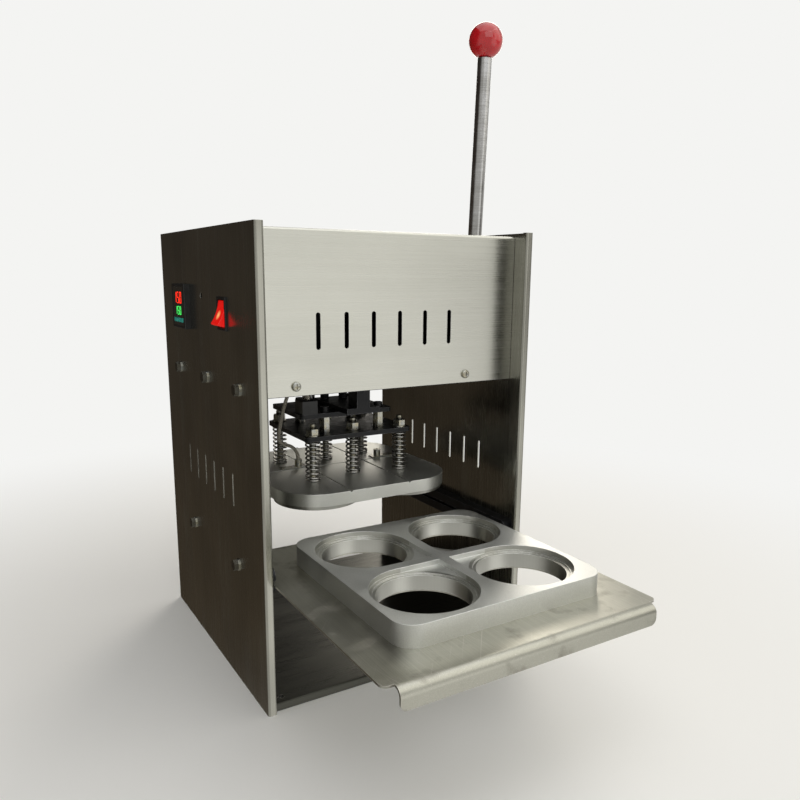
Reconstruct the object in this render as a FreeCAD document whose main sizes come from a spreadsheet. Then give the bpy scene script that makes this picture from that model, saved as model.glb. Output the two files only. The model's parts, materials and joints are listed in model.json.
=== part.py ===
import FreeCAD, Part

import math
import os
import re

import Sketcher

# Manual four-cup sealing machine, in millimetres.
# Frame: origin at the middle of the cabinet's footprint on the bench, +X right, +Y back, +Z up.
# The drawer stands fully out, the lever is up and the press head is at the top of its stroke.

DIMENSIONS = [
    # cabinet
    ("cabinet_width", 305, "outside faces of the two side panels"),
    ("cabinet_depth", 312, "front flange to back edge"),
    ("cabinet_height", 460, "side panels"),
    ("sheet", 1.5, "stainless sheet of the cabinet"),
    ("flange_width", 9, "front fold of a side panel"),
    ("flange_return", 6, "return behind the front fold"),
    ("bend", 2.5, "outside radius of a fold"),
    ("vent_count", 6, "slots in a row"),
    ("vent_first", -76, "Y of the first side vent"),
    ("vent_pitch", 29.8, "side vents"),
    ("vent_low", 189, "Z of the foot of the side vents"),
    ("vent_high", 222.5, "Z of the top of the side vents"),
    ("vent_width", 3, "side vents"),
    ("base_front", -152, "Y of the front edge of the base"),
    ("base_back", 152, "Y of the back edge of the base"),
    ("base_top", 9, "Z of the floor of the bay"),
    ("base_return", 20, "turned-in foot of the base"),
    ("foot_hole_x", 134, "bench bolt holes"),
    ("foot_hole_front", -142, "Y of the front bench bolt holes"),
    ("foot_hole_back", 142, "Y of the back bench bolt holes"),
    ("foot_hole_radius", 2.75, "M5 clearance"),
    ("cover_front", -128.2, "Y of the outer face of the front cover"),
    ("cover_back", 154.3, "Y of the back edge of the top"),
    ("cover_low", 303.9, "Z of the lower edge of the covers"),
    ("cover_top", 456.8, "Z of the top"),
    ("cover_width", 301.4, "between the side panels"),
    ("slot_first", -82, "X of the first cover slot"),
    ("slot_pitch", 29.8, "cover slots"),
    ("slot_low", 346, "Z of the foot of the cover slots"),
    ("slot_high", 381, "Z of the top of the cover slots"),
    ("slot_width", 4.6, "cover slots"),
    ("screw_left", -105.6, "X of the left cover screw"),
    ("screw_right", 89, "X of the right cover screw"),
    ("screw_height", 312.8, "Z of the cover screws"),
    # cross frame
    ("frame_top", 323, "Z of the top of the cross frame"),
    ("frame_plate", 3, "steel plate of the cross frame"),
    ("frame_low", 303.2, "Z of the foot of its flanges"),
    ("frame_bolt_y", -3.3, "Y of the middle bolt"),
    ("frame_bolt_pitch", 99.5, "bolts along a side"),
    ("frame_bolt_z", 309.7, "bolts through the side panels"),
    ("yoke_hole_width", 52, "opening in the cross frame for the yoke"),
    ("yoke_hole_depth", 36, "opening in the cross frame for the yoke"),
    ("yoke_hole_reach", 39.7, "front of that opening, in front of the shaft"),
    ("bolt_across", 10, "flats of the panel bolts and nuts"),
    ("bolt_head", 4, "height of a panel bolt's head"),
    ("washer_radius", 6.2, "washers of the panel bolts"),
    ("washer_thickness", 1.2, "washers of the panel bolts"),
    # drawer, rails and mould
    ("press_x", 4, "X of the middle of the press and of the mould"),
    ("press_y", 4, "Y of the middle of the press"),
    ("drawer_travel", 217, "out to fully home"),
    ("drawer_width", 285, "between the grooves"),
    ("drawer_front", -364, "Y of the lip when the drawer is out"),
    ("drawer_back", -66, "Y of the back edge when the drawer is out"),
    ("drawer_top", 132.5, "Z of the drawer"),
    ("drawer_sheet", 2, "steel sheet of the drawer"),
    ("lip_drop", 18, "turned-down front lip"),
    ("lip_bend", 8, "outside radius of the lip's fold"),
    ("lip_notch", 10, "relief at each end of the lip"),
    ("rail_width", 13.5, "grooved bar"),
    ("rail_height", 23.5, "grooved bar"),
    ("rail_groove", 6.5, "depth of the groove"),
    ("rail_gap", 3.2, "height of the groove"),
    ("rail_front", -146, "Y of the front end"),
    ("rail_back", 151, "Y of the back end"),
    ("rail_bolt_front", -82, "Y"),
    ("rail_bolt_back", 67, "Y"),
    ("rail_bolt_z", 129.5, "bolts through the side panels"),
    ("mould_size", 218, "square plate"),
    ("mould_thickness", 20, "square plate"),
    ("mould_corner", 20, "radius of its corners"),
    ("cup_pitch", 108, "centre to centre"),
    ("rim_radius", 48.5, "recess for the rim of a 95 mm cup"),
    ("rim_depth", 5, "recess"),
    ("seat_radius", 45.2, "shallow second step"),
    ("seat_depth", 1.2, "second step below the recess"),
    ("bore_radius", 42, "bore for the cup's wall"),
    ("drawer_hole_radius", 43.5, "opening in the drawer under a bore"),
    ("mould_screw", 98, "mould screws from its middle, both ways"),
    # heating plate
    ("heater_size", 205, "square plate"),
    ("heater_corner", 48.5, "radius of its corners"),
    ("heater_thickness", 13.5, "square plate"),
    ("heater_top", 193, "Z with the press up"),
    ("disc_radius", 47, "sealing disc"),
    ("disc_thickness", 4, "sealing disc"),
    ("groove_x", 36, "grooves either side of the middle"),
    ("groove_back", 8, "cross groove behind the middle"),
    ("groove_width", 2.5, "grooves in the top"),
    ("groove_depth", 1.2, "grooves in the top"),
    ("cartridge_radius", 4.7, "cartridge heater"),
    ("cartridge_length", 170, "cartridge heater"),
    ("cartridge_y", 25, "either side of the middle"),
    ("terminal_x", 53, "half the spacing of the lead terminals"),
    ("terminal_shift", 7, "lead terminals to the right of the middle"),
    ("terminal_y", 14, "lead terminals behind the middle"),
    # press plate, studs and springs
    ("plate_low", 238.5, "Z of the underside of the press plate"),
    ("plate_thickness", 5, "press plate"),
    ("plate_width", 132, "press plate"),
    ("plate_depth", 112, "press plate"),
    ("stud_x", 55, "outer studs either side of the middle"),
    ("stud_y", 47, "outer studs in front of and behind the middle"),
    ("stud_inset", 11, "middle studs nearer the middle than the outer ones"),
    ("stud_proud", 13, "studs above the press plate"),
    ("stud_radius", 4, "M8"),
    ("spring_radius", 7.5, "middle of the wire of a press spring"),
    ("spring_wire", 2, "wire of a press spring"),
    ("spring_pitch", 4.8, "press spring"),
    ("standoff_pitch", 68, "hexagonal spacers, both ways"),
    ("standoff_height", 17.5, "hexagonal spacers"),
    ("standoff_across", 11, "flats of a spacer"),
    ("upper_left", -62, "X of the left edge of the upper plate"),
    ("upper_right", 52, "X of the right edge of the upper plate"),
    ("upper_front", -38, "Y of the front edge of the upper plate"),
    ("upper_back", 46, "Y of the back edge of the upper plate"),
    ("upper_thickness", 5, "upper plate"),
    ("yoke_foot", 6, "thickness of the yoke's foot"),
    ("guide_x", 30, "guide rods either side of the middle"),
    ("guide_y", 16, "Y of the guide rods"),
    ("guide_radius", 5, "guide rod"),
    ("guide_bush_radius", 8, "bush in the cross frame"),
    ("guide_bush_flange", 11, "radius of its flange"),
    ("guide_length", 125, "guide rod"),
    ("collar_radius", 10, "collar on a guide rod"),
    ("collar_height", 8, "collar on a guide rod"),
    ("return_radius", 7, "middle of the wire of a return spring"),
    ("return_wire", 1.6, "wire of a return spring"),
    ("return_pitch", 6.3, "return spring"),
    ("return_length", 52, "return spring"),
    ("running_gap", 0.05, "radial play of a shaft in its bush"),
    # lever and crank
    ("shaft_y", -27.5, "lever shaft"),
    ("shaft_z", 390, "lever shaft"),
    ("shaft_radius", 8, "lever shaft"),
    ("crank_radius", 22.664, "shaft to crank pin"),
    ("crank_rest", 35, "degrees above level with the lever up"),
    ("crank_plate", 8, "crank arm"),
    ("pin_radius", 4, "crank pin"),
    ("slot_gap", 0.45, "play above and below the pin in the yoke"),
    ("yoke_width", 16, "yoke upright"),
    ("yoke_reach", 30.7, "front of the yoke, in front of the shaft"),
    ("yoke_depth", 21, "yoke upright, front to back"),
    ("yoke_height", 138, "yoke upright"),
    ("yoke_foot_width", 40, "foot of the yoke"),
    ("yoke_foot_depth", 88, "foot of the yoke"),
    ("yoke_slot", 13.2, "length of the slot for the crank pin"),
    ("block_x", 44, "inner faces of the bearing blocks, from the middle"),
    ("block_plate", 12, "bearing block"),
    ("block_depth", 50, "bearing block, front to back"),
    ("block_height", 90, "bearing block"),
    ("shaft_bush_radius", 11, "bushes of the lever shaft"),
    ("shaft_bush_flange", 14, "radius of their flanges"),
    ("panel_bush_flange", 15, "radius of the panel bush's flange"),
    ("hub_inner", 156, "X of the inner face of the lever hub"),
    ("hub_length", 28, "lever hub"),
    ("hub_radius", 17, "lever hub"),
    ("neck_radius", 12, "neck of the lever hub"),
    ("neck_length", 27, "neck of the lever hub, from the shaft"),
    ("lever_lean", 2.72, "degrees in front of upright with the lever up"),
    ("lever_length", 284.3, "shaft to the middle of the knob"),
    ("rod_radius", 8, "lever rod"),
    ("knob_radius", 19, "ball knob"),
    # controls on the left panel
    ("controller_y", 68, "middle of the temperature controller"),
    ("controller_z", 380, "middle of the temperature controller"),
    ("controller_size", 48, "front bezel"),
    ("controller_proud", 7, "in front of the panel"),
    ("controller_body", 44.5, "body behind the panel"),
    ("controller_depth", 70, "body behind the panel"),
    ("face_size", 42, "front window"),
    ("key_pitch", 9.5, "keys"),
    ("key_width", 7, "keys"),
    ("key_height", 4.5, "keys"),
    ("key_drop", 15, "keys below the middle of the controller"),
    ("switch_y", -65, "middle of the rocker switch"),
    ("switch_z", 378, "middle of the rocker switch"),
    ("bezel_width", 25, "rocker switch"),
    ("bezel_height", 32, "rocker switch"),
    ("plain_hole_y", 3, "small hole in the left panel"),
    ("plain_hole_z", 393, "small hole in the left panel"),
    ("plain_hole_radius", 3, "small hole in the left panel"),
    ("gland_x", -120, "middle of the cable gland"),
    ("gland_z", 345, "middle of the cable gland"),
    ("rear_screw_x", 110, "rear cover screws either side of the middle"),
    ("rear_screw_low", 312, "Z of the lower rear cover screws"),
    ("rear_screw_inset", 6, "upper rear cover screws below the top"),
    ("block_screw_front", -42, "Y of the front screws of the bearing blocks"),
    ("block_screw_back", -12, "Y of the back screws of the bearing blocks"),
    ("lead_x", -62, "supply lead through the cross frame"),
    ("lead_y", -45, "supply lead through the cross frame"),
    ("lead_radius", 2, "sleeved leads"),
]

doc = FreeCAD.newDocument("CupSealingMachine")
sheet = doc.addObject("Spreadsheet::Sheet", "dims")
for row, (alias, value, note) in enumerate(DIMENSIONS, start=1):
    sheet.set(f"A{row}", alias)
    sheet.set(f"B{row}", str(value))
    sheet.set(f"C{row}", note)
    sheet.setAlias(f"B{row}", alias)
doc.recompute()

VALUES = {alias: float(value) for alias, value, _ in DIMENSIONS}
WORD = re.compile(r"[a-z]+(?:_[a-z]+)*")
ALONG = {
    "+x": FreeCAD.Rotation(FreeCAD.Vector(0, 1, 0), 90),
    "-x": FreeCAD.Rotation(FreeCAD.Vector(0, 1, 0), -90),
    "+y": FreeCAD.Rotation(FreeCAD.Vector(1, 0, 0), -90),
    "-y": FreeCAD.Rotation(FreeCAD.Vector(1, 0, 0), 90),
    "+z": FreeCAD.Rotation(),
    "-z": FreeCAD.Rotation(FreeCAD.Vector(1, 0, 0), 180),
}
nodes = []

# radii of screws, of their clearance holes and of a screw head
M_FOUR, M_FIVE, M_SIX = 2.0, 2.5, 3.0
M_FOUR_HOLE, M_FIVE_HOLE, M_SIX_HOLE = 2.3, 2.75, 3.3
HEAD_RADIUS = 4.5


# ---- helpers -------------------------------------------------------------------------------

def cells(text):
    """Turn the sheet's words in an expression into references to its cells."""
    return WORD.sub(lambda m: "dims." + m.group() if m.group() in VALUES else m.group(), str(text))


def bind(item, **sizes):
    """Bind properties of an object to expressions of the sheet's words."""
    for name, text in sizes.items():
        item.setExpression(name, cells(text))
    return item


def place(item, at, turn=None):
    """Put an object at a point given by three expressions, turned by a rotation."""
    if turn:
        item.Placement = FreeCAD.Placement(FreeCAD.Vector(), turn)
    for axis, text in zip("xyz", at):
        item.setExpression(f"Placement.Base.{axis}", cells(text))
    return item


def block(size, at, name="block"):
    """A box from its low corner."""
    item = doc.addObject("Part::Box", name)
    bind(item, Length=size[0], Width=size[1], Height=size[2])
    return place(item, at)


def rod(radius, length, at, along="+z", name="rod"):
    """A cylinder from the middle of its first end."""
    item = doc.addObject("Part::Cylinder", name)
    bind(item, Radius=radius, Height=length)
    return place(item, at, ALONG[along])


def hexagon(across, length, at, along="+z", name="hexagon"):
    """A hexagonal prism from the middle of its first end."""
    item = doc.addObject("Part::Prism", name)
    item.Polygon = 6
    bind(item, Circumradius=f"({across}) / sqrt(3)", Height=length)
    return place(item, at, ALONG[along])


def cone(radius_low, radius_high, length, at, along="+z", name="cone"):
    """A cone from the middle of its first end."""
    item = doc.addObject("Part::Cone", name)
    bind(item, Radius1=radius_low, Radius2=radius_high, Height=length)
    return place(item, at, ALONG[along])


def joined(parts, name="joined"):
    """One solid from several."""
    if len(parts) == 1:
        return parts[0]
    item = doc.addObject("Part::MultiFuse", name)
    item.Shapes = parts
    item.Refine = True
    return item


def cut(base, tools, name="cut"):
    """A solid less others."""
    item = doc.addObject("Part::Cut", name)
    item.Base = base
    item.Tool = joined(tools, "tools")
    return item


def several(parts, name="several"):
    """Separate solids kept together in one node."""
    item = doc.addObject("Part::Compound", name)
    item.Links = parts
    return item


def softened(base, radius, test, name="softened"):
    """Round the edges whose middle point passes a test."""
    doc.recompute()
    picked = [i for i, edge in enumerate(base.Shape.Edges, start=1) if test(edge)]
    if not picked:
        raise ValueError(f"no edge to round on {base.Name}")
    item = doc.addObject("Part::Fillet", name)
    item.Base = base
    item.Edges = [(i, radius, radius) for i in picked]
    return item


def node(item, label):
    """Name a finished sub-part."""
    item.Label = label
    nodes.append(item)
    return item


def origin_plane(body, role):
    return next(f for f in body.Origin.OriginFeatures if f.Role == role)


def sketch_on(body, role, name):
    """A sketch on one of the body's own origin planes."""
    sketch = body.newObject("Sketcher::SketchObject", name)
    sketch.AttachmentSupport = [(origin_plane(body, role), "")]
    sketch.MapMode = "FlatFace"
    return sketch


def pin_point(sketch, edge, point, x, y):
    """Hold a point of a sketch at two expressions of the sheet's words."""
    for kind, text in (("DistanceX", x), ("DistanceY", y)):
        index = sketch.addConstraint(Sketcher.Constraint(kind, -1, 1, edge, point, 1.0))
        sketch.setExpression(f"Constraints[{index}]", cells(text))


def polygon(sketch, corners, rough):
    """A closed outline. The rough corners only start the solver near its answer."""
    count = len(corners)
    for i in range(count):
        a, b = rough[i], rough[(i + 1) % count]
        sketch.addGeometry(Part.LineSegment(FreeCAD.Vector(*a, 0), FreeCAD.Vector(*b, 0)))
    for i in range(count):
        sketch.addConstraint(Sketcher.Constraint("Coincident", i, 2, (i + 1) % count, 1))
    for i, (x, y) in enumerate(corners):
        pin_point(sketch, i, 1, x, y)


def disc(sketch, x, y, radius, rough):
    """A circle, with its middle at two expressions."""
    index = sketch.addGeometry(Part.Circle(FreeCAD.Vector(*rough, 0), FreeCAD.Vector(0, 0, 1), 1.0))
    pin_point(sketch, index, 3, x, y)
    ring = sketch.addConstraint(Sketcher.Constraint("Radius", index, 1.0))
    sketch.setExpression(f"Constraints[{ring}]", cells(radius))


def worked(text):
    """The number of a sum of the sheet's words, as the sheet itself works it out."""
    sheet.set("E1", "=" + re.sub(WORD, lambda m: m.group(), str(text)))
    sheet.recompute()
    found = sheet.get("E1")
    return float(getattr(found, "Value", found))


def extruded(name, role, corners, length, midplane=True):
    """A body made by padding one closed outline of its own."""
    body = doc.addObject("PartDesign::Body", name)
    sketch = sketch_on(body, role, name + "_outline")
    polygon(sketch, corners, [(worked(x), worked(y)) for x, y in corners])
    pad = body.newObject("PartDesign::Pad", name + "_pad")
    pad.Profile = sketch
    pad.Midplane = midplane
    bind(pad, Length=length)
    return body


def rounded(body, radius, test, name):
    """Round the edges of a body whose middle point passes a test."""
    doc.recompute()
    tip = body.Tip
    picked = [f"Edge{i}" for i, edge in enumerate(tip.Shape.Edges, start=1) if test(edge)]
    if not picked:
        raise ValueError(f"no edge to round on {body.Name}")
    fillet = body.newObject("PartDesign::Fillet", name)
    fillet.Base = (tip, picked)
    fillet.Radius = radius
    return fillet


def near(value, target, slack=0.02):
    return abs(value - target) < slack


def edge_at(**wanted):
    """A test for edges whose middle point has the wanted coordinates."""
    def test(edge):
        middle = edge.CenterOfMass
        return all(near(getattr(middle, axis), value) for axis, value in wanted.items())
    return test


def any_of(*tests):
    return lambda edge: any(test(edge) for test in tests)


def slots(first, pitch, low, high, width, start, depth, along):
    """Tools for a row of upright slots with round ends, cut along X or Y."""
    tools = []
    for i in range(int(VALUES["vent_count"])):
        middle = f"{first} + {i} * {pitch}"
        edge = f"{first} + {i} * {pitch} - {width} / 2"
        foot = f"{low} + {width} / 2"
        head = f"{high} - {width} / 2"
        tall = f"{high} - {low} - {width}"
        if along == "+x":
            tools.append(block((depth, width, tall), (start, edge, foot)))
            ends = [(start, middle, foot), (start, middle, head)]
        else:
            tools.append(block((width, depth, tall), (edge, start, foot)))
            ends = [(middle, start, foot), (middle, start, head)]
        tools += [rod(f"{width} / 2", depth, at, along) for at in ends]
    return tools


# ---- cabinet -------------------------------------------------------------------------------

FRAME_BOLTS = [f"frame_bolt_y + {i} * frame_bolt_pitch" for i in (-1, 0, 1)]
RAIL_BOLTS = ["rail_bolt_front", "rail_bolt_back"]
REAR_SCREWS_X = ["-rear_screw_x", "rear_screw_x"]
REAR_SCREWS_Z = ["rear_screw_low", "cover_top - rear_screw_inset"]
BLOCK_SCREWS_Y = ["block_screw_front", "block_screw_back"]
HALF_WIDTH = VALUES["cabinet_width"] / 2
HALF_DEPTH = VALUES["cabinet_depth"] / 2
SHEET = VALUES["sheet"]


def side_panel(side, label):
    """A side sheet with its front edge folded in and back; side is -1 for left, 1 for right."""
    def across(text):
        return f"{side} * (cabinet_width / 2 - {text})"

    front = "-cabinet_depth / 2"
    corners = [
        (across("0"), front),
        (across("flange_width"), front),
        (across("flange_width"), f"{front} + flange_return"),
        (across("(flange_width - sheet)"), f"{front} + flange_return"),
        (across("(flange_width - sheet)"), f"{front} + sheet"),
        (across("sheet"), f"{front} + sheet"),
        (across("sheet"), "cabinet_depth / 2"),
        (across("0"), "cabinet_depth / 2"),
    ]
    body = extruded(label + "_sheet", "XY_Plane", corners, "cabinet_height", midplane=False)
    inner = VALUES["flange_width"]
    folds = any_of(
        edge_at(x=side * HALF_WIDTH, y=-HALF_DEPTH, z=VALUES["cabinet_height"] / 2),
        edge_at(x=side * (HALF_WIDTH - inner), y=-HALF_DEPTH, z=VALUES["cabinet_height"] / 2),
    )
    hollows = any_of(
        edge_at(x=side * (HALF_WIDTH - SHEET), y=SHEET - HALF_DEPTH),
        edge_at(x=side * (HALF_WIDTH - inner + SHEET), y=SHEET - HALF_DEPTH),
    )
    rounded(body, VALUES["bend"], folds, label + "_folds")
    rounded(body, VALUES["bend"] - SHEET, hollows, label + "_hollows")
    start = f"{side} * (cabinet_width / 2 - sheet / 2) - sheet"
    through = "2 * sheet"
    tools = slots("vent_first", "vent_pitch", "vent_low", "vent_high", "vent_width", start, through, "+x")
    tools += [rod(M_SIX_HOLE, through, (start, y, "frame_bolt_z"), "+x") for y in FRAME_BOLTS]
    tools += [rod(M_SIX_HOLE, through, (start, y, "rail_bolt_z"), "+x") for y in RAIL_BOLTS]
    if side < 0:
        hole = "(controller_body + 0.4)"
        tools.append(block((through, hole, hole),
                           (start, f"controller_y - {hole} / 2", f"controller_z - {hole} / 2")))
        tools.append(block((through, "22.4", "30.4"), (start, "switch_y - 11.2", "switch_z - 15.2")))
        tools.append(rod("plain_hole_radius", through, (start, "plain_hole_y", "plain_hole_z"), "+x"))
    else:
        tools.append(rod("shaft_bush_radius", through, (start, "shaft_y", "shaft_z"), "+x"))
    return node(cut(body, tools), label)


side_panel(-1, "left_panel")
side_panel(1, "right_panel")


def base_pan():
    """The floor of the bay: front and back edges folded down, then in as feet."""
    inner = "base_top - sheet"
    corners = [
        ("base_front", "0"),
        ("base_front + base_return", "0"),
        ("base_front + base_return", "sheet"),
        ("base_front + sheet", "sheet"),
        ("base_front + sheet", inner),
        ("base_back - sheet", inner),
        ("base_back - sheet", "sheet"),
        ("base_back - base_return", "sheet"),
        ("base_back - base_return", "0"),
        ("base_back", "0"),
        ("base_back", "base_top"),
        ("base_front", "base_top"),
    ]
    body = extruded("base_sheet", "YZ_Plane", corners, "cabinet_width - 2 * sheet")
    folds = any_of(*[
        edge_at(x=0, y=VALUES[y], z=z)
        for y in ("base_front", "base_back")
        for z in (0, VALUES["base_top"])
    ])
    rounded(body, 2.0, folds, "base_folds")
    reach = "flange_width - sheet + 0.3"
    tools = []
    for side, corner in ((-1, "sheet - cabinet_width / 2"), (1, f"cabinet_width / 2 - sheet - ({reach})")):
        tools.append(block((reach, "3", "base_top"), (corner, "base_front", "0")))
        for y in ("foot_hole_front", "foot_hole_back"):
            tools.append(rod("foot_hole_radius", "base_top", (f"{side} * foot_hole_x", y, "0")))
    return node(cut(body, tools), "base_pan")


base_pan()


def base_stiffener():
    """A hat section across the underside of the floor, standing on the bench."""
    under = "base_top - sheet"
    left = [(-32, under), (-32, f"{under} - sheet"), ("-sheet - 18.5", f"{under} - sheet"), ("-sheet - 18.5", "0")]
    right = [("sheet + 18.5", "0"), ("sheet + 18.5", f"{under} - sheet"), (32, f"{under} - sheet"), (32, under)]
    inner = [(18.5, under), (18.5, "sheet"), (-18.5, "sheet"), (-18.5, under)]
    body = extruded("stiffener_sheet", "YZ_Plane", left + right + inner, "cabinet_width - 20")
    return node(body, "base_stiffener")


base_stiffener()


def front_cover():
    """Front and top of the housing in one folded sheet, with a short flange down at the back."""
    back_flange = "cover_top - 12"
    corners = [
        ("cover_front", "cover_low"),
        ("cover_front + sheet", "cover_low"),
        ("cover_front + sheet", "cover_top - sheet"),
        ("cover_back - sheet", "cover_top - sheet"),
        ("cover_back - sheet", back_flange),
        ("cover_back", back_flange),
        ("cover_back", "cover_top"),
        ("cover_front", "cover_top"),
    ]
    body = extruded("cover_sheet", "YZ_Plane", corners, "cover_width")
    top = VALUES["cover_top"]
    rounded(body, VALUES["bend"], any_of(
        edge_at(x=0, y=VALUES["cover_front"], z=top),
        edge_at(x=0, y=VALUES["cover_back"], z=top),
    ), "cover_folds")
    rounded(body, VALUES["bend"] - SHEET, any_of(
        edge_at(x=0, y=VALUES["cover_front"] + SHEET, z=top - SHEET),
        edge_at(x=0, y=VALUES["cover_back"] - SHEET, z=top - SHEET),
    ), "cover_hollows")
    start = "cover_front - sheet"
    through = "3 * sheet"
    tools = slots("slot_first", "slot_pitch", "slot_low", "slot_high", "slot_width", start, through, "+y")
    tools += [rod(M_FOUR_HOLE, through, (x, start, "screw_height"), "+y") for x in ("screw_left", "screw_right")]
    tools += [rod(M_FOUR_HOLE, through, (x, "cover_back - 2 * sheet", "cover_top - rear_screw_inset"), "+y")
              for x in REAR_SCREWS_X]
    return node(cut(body, tools), "front_cover")


front_cover()


def rear_cover():
    """The back of the housing, with a hole for the cable gland."""
    plate = block(("cover_width", "sheet", "cover_top - cover_low - 0.5"),
                  ("-cover_width / 2", "cover_back", "cover_low"))
    tools = [rod(M_FOUR_HOLE, "3 * sheet", (x, "cover_back - sheet", z), "+y")
             for x in REAR_SCREWS_X for z in REAR_SCREWS_Z]
    tools.append(rod("8", "3 * sheet", ("gland_x", "cover_back - sheet", "gland_z"), "+y"))
    return node(cut(plate, tools), "rear_cover")


rear_cover()


def cross_frame():
    """The steel tray that ties the panels together and carries the press and its bearings."""
    inside = "cabinet_width - 2 * sheet"
    depth = "cover_back - cover_front - sheet"
    outer = block((inside, depth, "frame_top - frame_low"), ("sheet - cabinet_width / 2", "cover_front + sheet",
                                                            "frame_low"))
    hollow = block((f"{inside} - 2 * frame_plate", f"{depth} - 2 * frame_plate",
                    "frame_top - frame_low - frame_plate"),
                   ("sheet + frame_plate - cabinet_width / 2", "cover_front + sheet + frame_plate", "frame_low"))
    tools = [hollow]
    tools.append(block(("yoke_hole_width", "yoke_hole_depth", 6),
                       ("press_x - yoke_hole_width / 2", "shaft_y - yoke_hole_reach", "frame_top - 5")))
    for side in (-1, 1):
        tools.append(rod("guide_bush_radius", 6, (f"press_x + {side} * guide_x", "guide_y", "frame_top - 5")))
        for y in BLOCK_SCREWS_Y:
            x = f"press_x + {side} * (block_x + block_plate / 2)"
            tools.append(rod(M_FIVE_HOLE, 6, (x, y, "frame_top - 5")))
        wall = f"{side} * (cabinet_width / 2 - sheet - frame_plate / 2) - frame_plate"
        tools += [rod(M_SIX_HOLE, "2 * frame_plate", (wall, y, "frame_bolt_z"), "+x") for y in FRAME_BOLTS]
        tools.append(rod(M_FOUR, 6, (f"{side} * rear_screw_x", "cover_back - 5", "rear_screw_low"), "+y"))
    tools.append(rod("lead_radius + 3", 6, ("lead_x", "lead_y", "frame_top - 5")))
    tools += [rod(M_FOUR, 6, (x, "cover_front", "screw_height"), "+y") for x in ("screw_left", "screw_right")]
    return node(cut(outer, tools), "cross_frame")


cross_frame()


def guide_bushes():
    """Flanged bushes that guide the press rods."""
    bushes = []
    for side in (-1, 1):
        x = f"press_x + {side} * guide_x"
        body = joined([
            rod("guide_bush_radius", 12, (x, "guide_y", "frame_top - 12")),
            rod("guide_bush_flange", 3, (x, "guide_y", "frame_top")),
        ])
        bushes.append(cut(body, [rod("guide_radius + running_gap", 20, (x, "guide_y", "frame_top - 14"))]))
    return node(several(bushes), "guide_bushes")


guide_bushes()


def bearing_block(side, label):
    """An upright on the cross frame with a bore for a shaft bush and two tapped holes below."""
    inner = f"press_x + {side} * block_x"
    low = inner if side > 0 else f"{inner} - block_plate"
    plate = block(("block_plate", "block_depth", "block_height"), (low, "shaft_y - block_depth / 2", "frame_top"))
    top = VALUES["frame_top"] + VALUES["block_height"]
    half = VALUES["block_depth"] / 2
    shoulders = any_of(
        edge_at(y=VALUES["shaft_y"] - half, z=top),
        edge_at(y=VALUES["shaft_y"] + half, z=top),
    )
    shaped = softened(plate, 16.0, shoulders)
    middle = f"press_x + {side} * (block_x + block_plate / 2)"
    tools = [rod("shaft_bush_radius", 20, (f"{middle} - 10", "shaft_y", "shaft_z"), "+x")]
    tools += [rod(M_FIVE, 14, (middle, y, "frame_top")) for y in BLOCK_SCREWS_Y]
    return node(cut(shaped, tools), label)


bearing_block(-1, "bearing_block_left")
bearing_block(1, "bearing_block_right")


def shaft_bushes():
    """Bronze bushes in the two bearing blocks, flanged on the outer side."""
    bushes = []
    for side in (-1, 1):
        inner = f"press_x + {side} * block_x"
        along = "+x" if side > 0 else "-x"
        body = joined([
            rod("shaft_bush_radius", "block_plate", (inner, "shaft_y", "shaft_z"), along),
            rod("shaft_bush_flange", 2, (f"{inner} + {side} * block_plate", "shaft_y", "shaft_z"), along),
        ])
        hole = rod("shaft_radius + running_gap", 20, (f"{inner} - {side} * 2", "shaft_y", "shaft_z"), along)
        bushes.append(cut(body, [hole]))
    return node(several(bushes), "shaft_bushes")


shaft_bushes()

panel_face = "cabinet_width / 2"
node(cut(
    joined([
        rod("shaft_bush_radius", 8, (f"{panel_face} - 8", "shaft_y", "shaft_z"), "+x"),
        rod("panel_bush_flange", 3, (panel_face, "shaft_y", "shaft_z"), "+x"),
    ]),
    [rod("shaft_radius + running_gap", 16, (f"{panel_face} - 10", "shaft_y", "shaft_z"), "+x")],
), "panel_bush")

node(several([
    joined([
        rod(HEAD_RADIUS, 4, (x, y, "frame_top - frame_plate"), "-z"),
        rod(M_FIVE, 14, (x, y, "frame_top - frame_plate")),
    ])
    for x in ("press_x - block_x - block_plate / 2", "press_x + block_x + block_plate / 2")
    for y in BLOCK_SCREWS_Y
]), "block_screws")


def rail(side, label):
    """A grooved bar with a round nose, screwed to the inside of a panel."""
    outer = "(cabinet_width / 2 - sheet)"
    low = f"-{outer}" if side < 0 else f"{outer} - rail_width"
    length = "rail_back - rail_front"
    middle = "drawer_top - drawer_sheet / 2"
    bar = block(("rail_width", length, "rail_height"), (low, "rail_front", f"{middle} - rail_height / 2"))
    nose = softened(bar, 8.0, lambda e: near(e.CenterOfMass.y, VALUES["rail_front"]) and near(
        e.Length, VALUES["rail_width"]))
    groove_low = f"{low} + rail_width - rail_groove" if side < 0 else low
    tools = [block(("rail_groove", length, "rail_gap"), (groove_low, "rail_front", f"{middle} - rail_gap / 2"))]
    along = "+x" if side < 0 else "-x"
    tools += [rod(M_SIX, 6, (f"{side} * {outer}", y, "rail_bolt_z"), along) for y in RAIL_BOLTS]
    return node(cut(nose, tools), label)


rail(-1, "left_rail")
rail(1, "right_rail")


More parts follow.
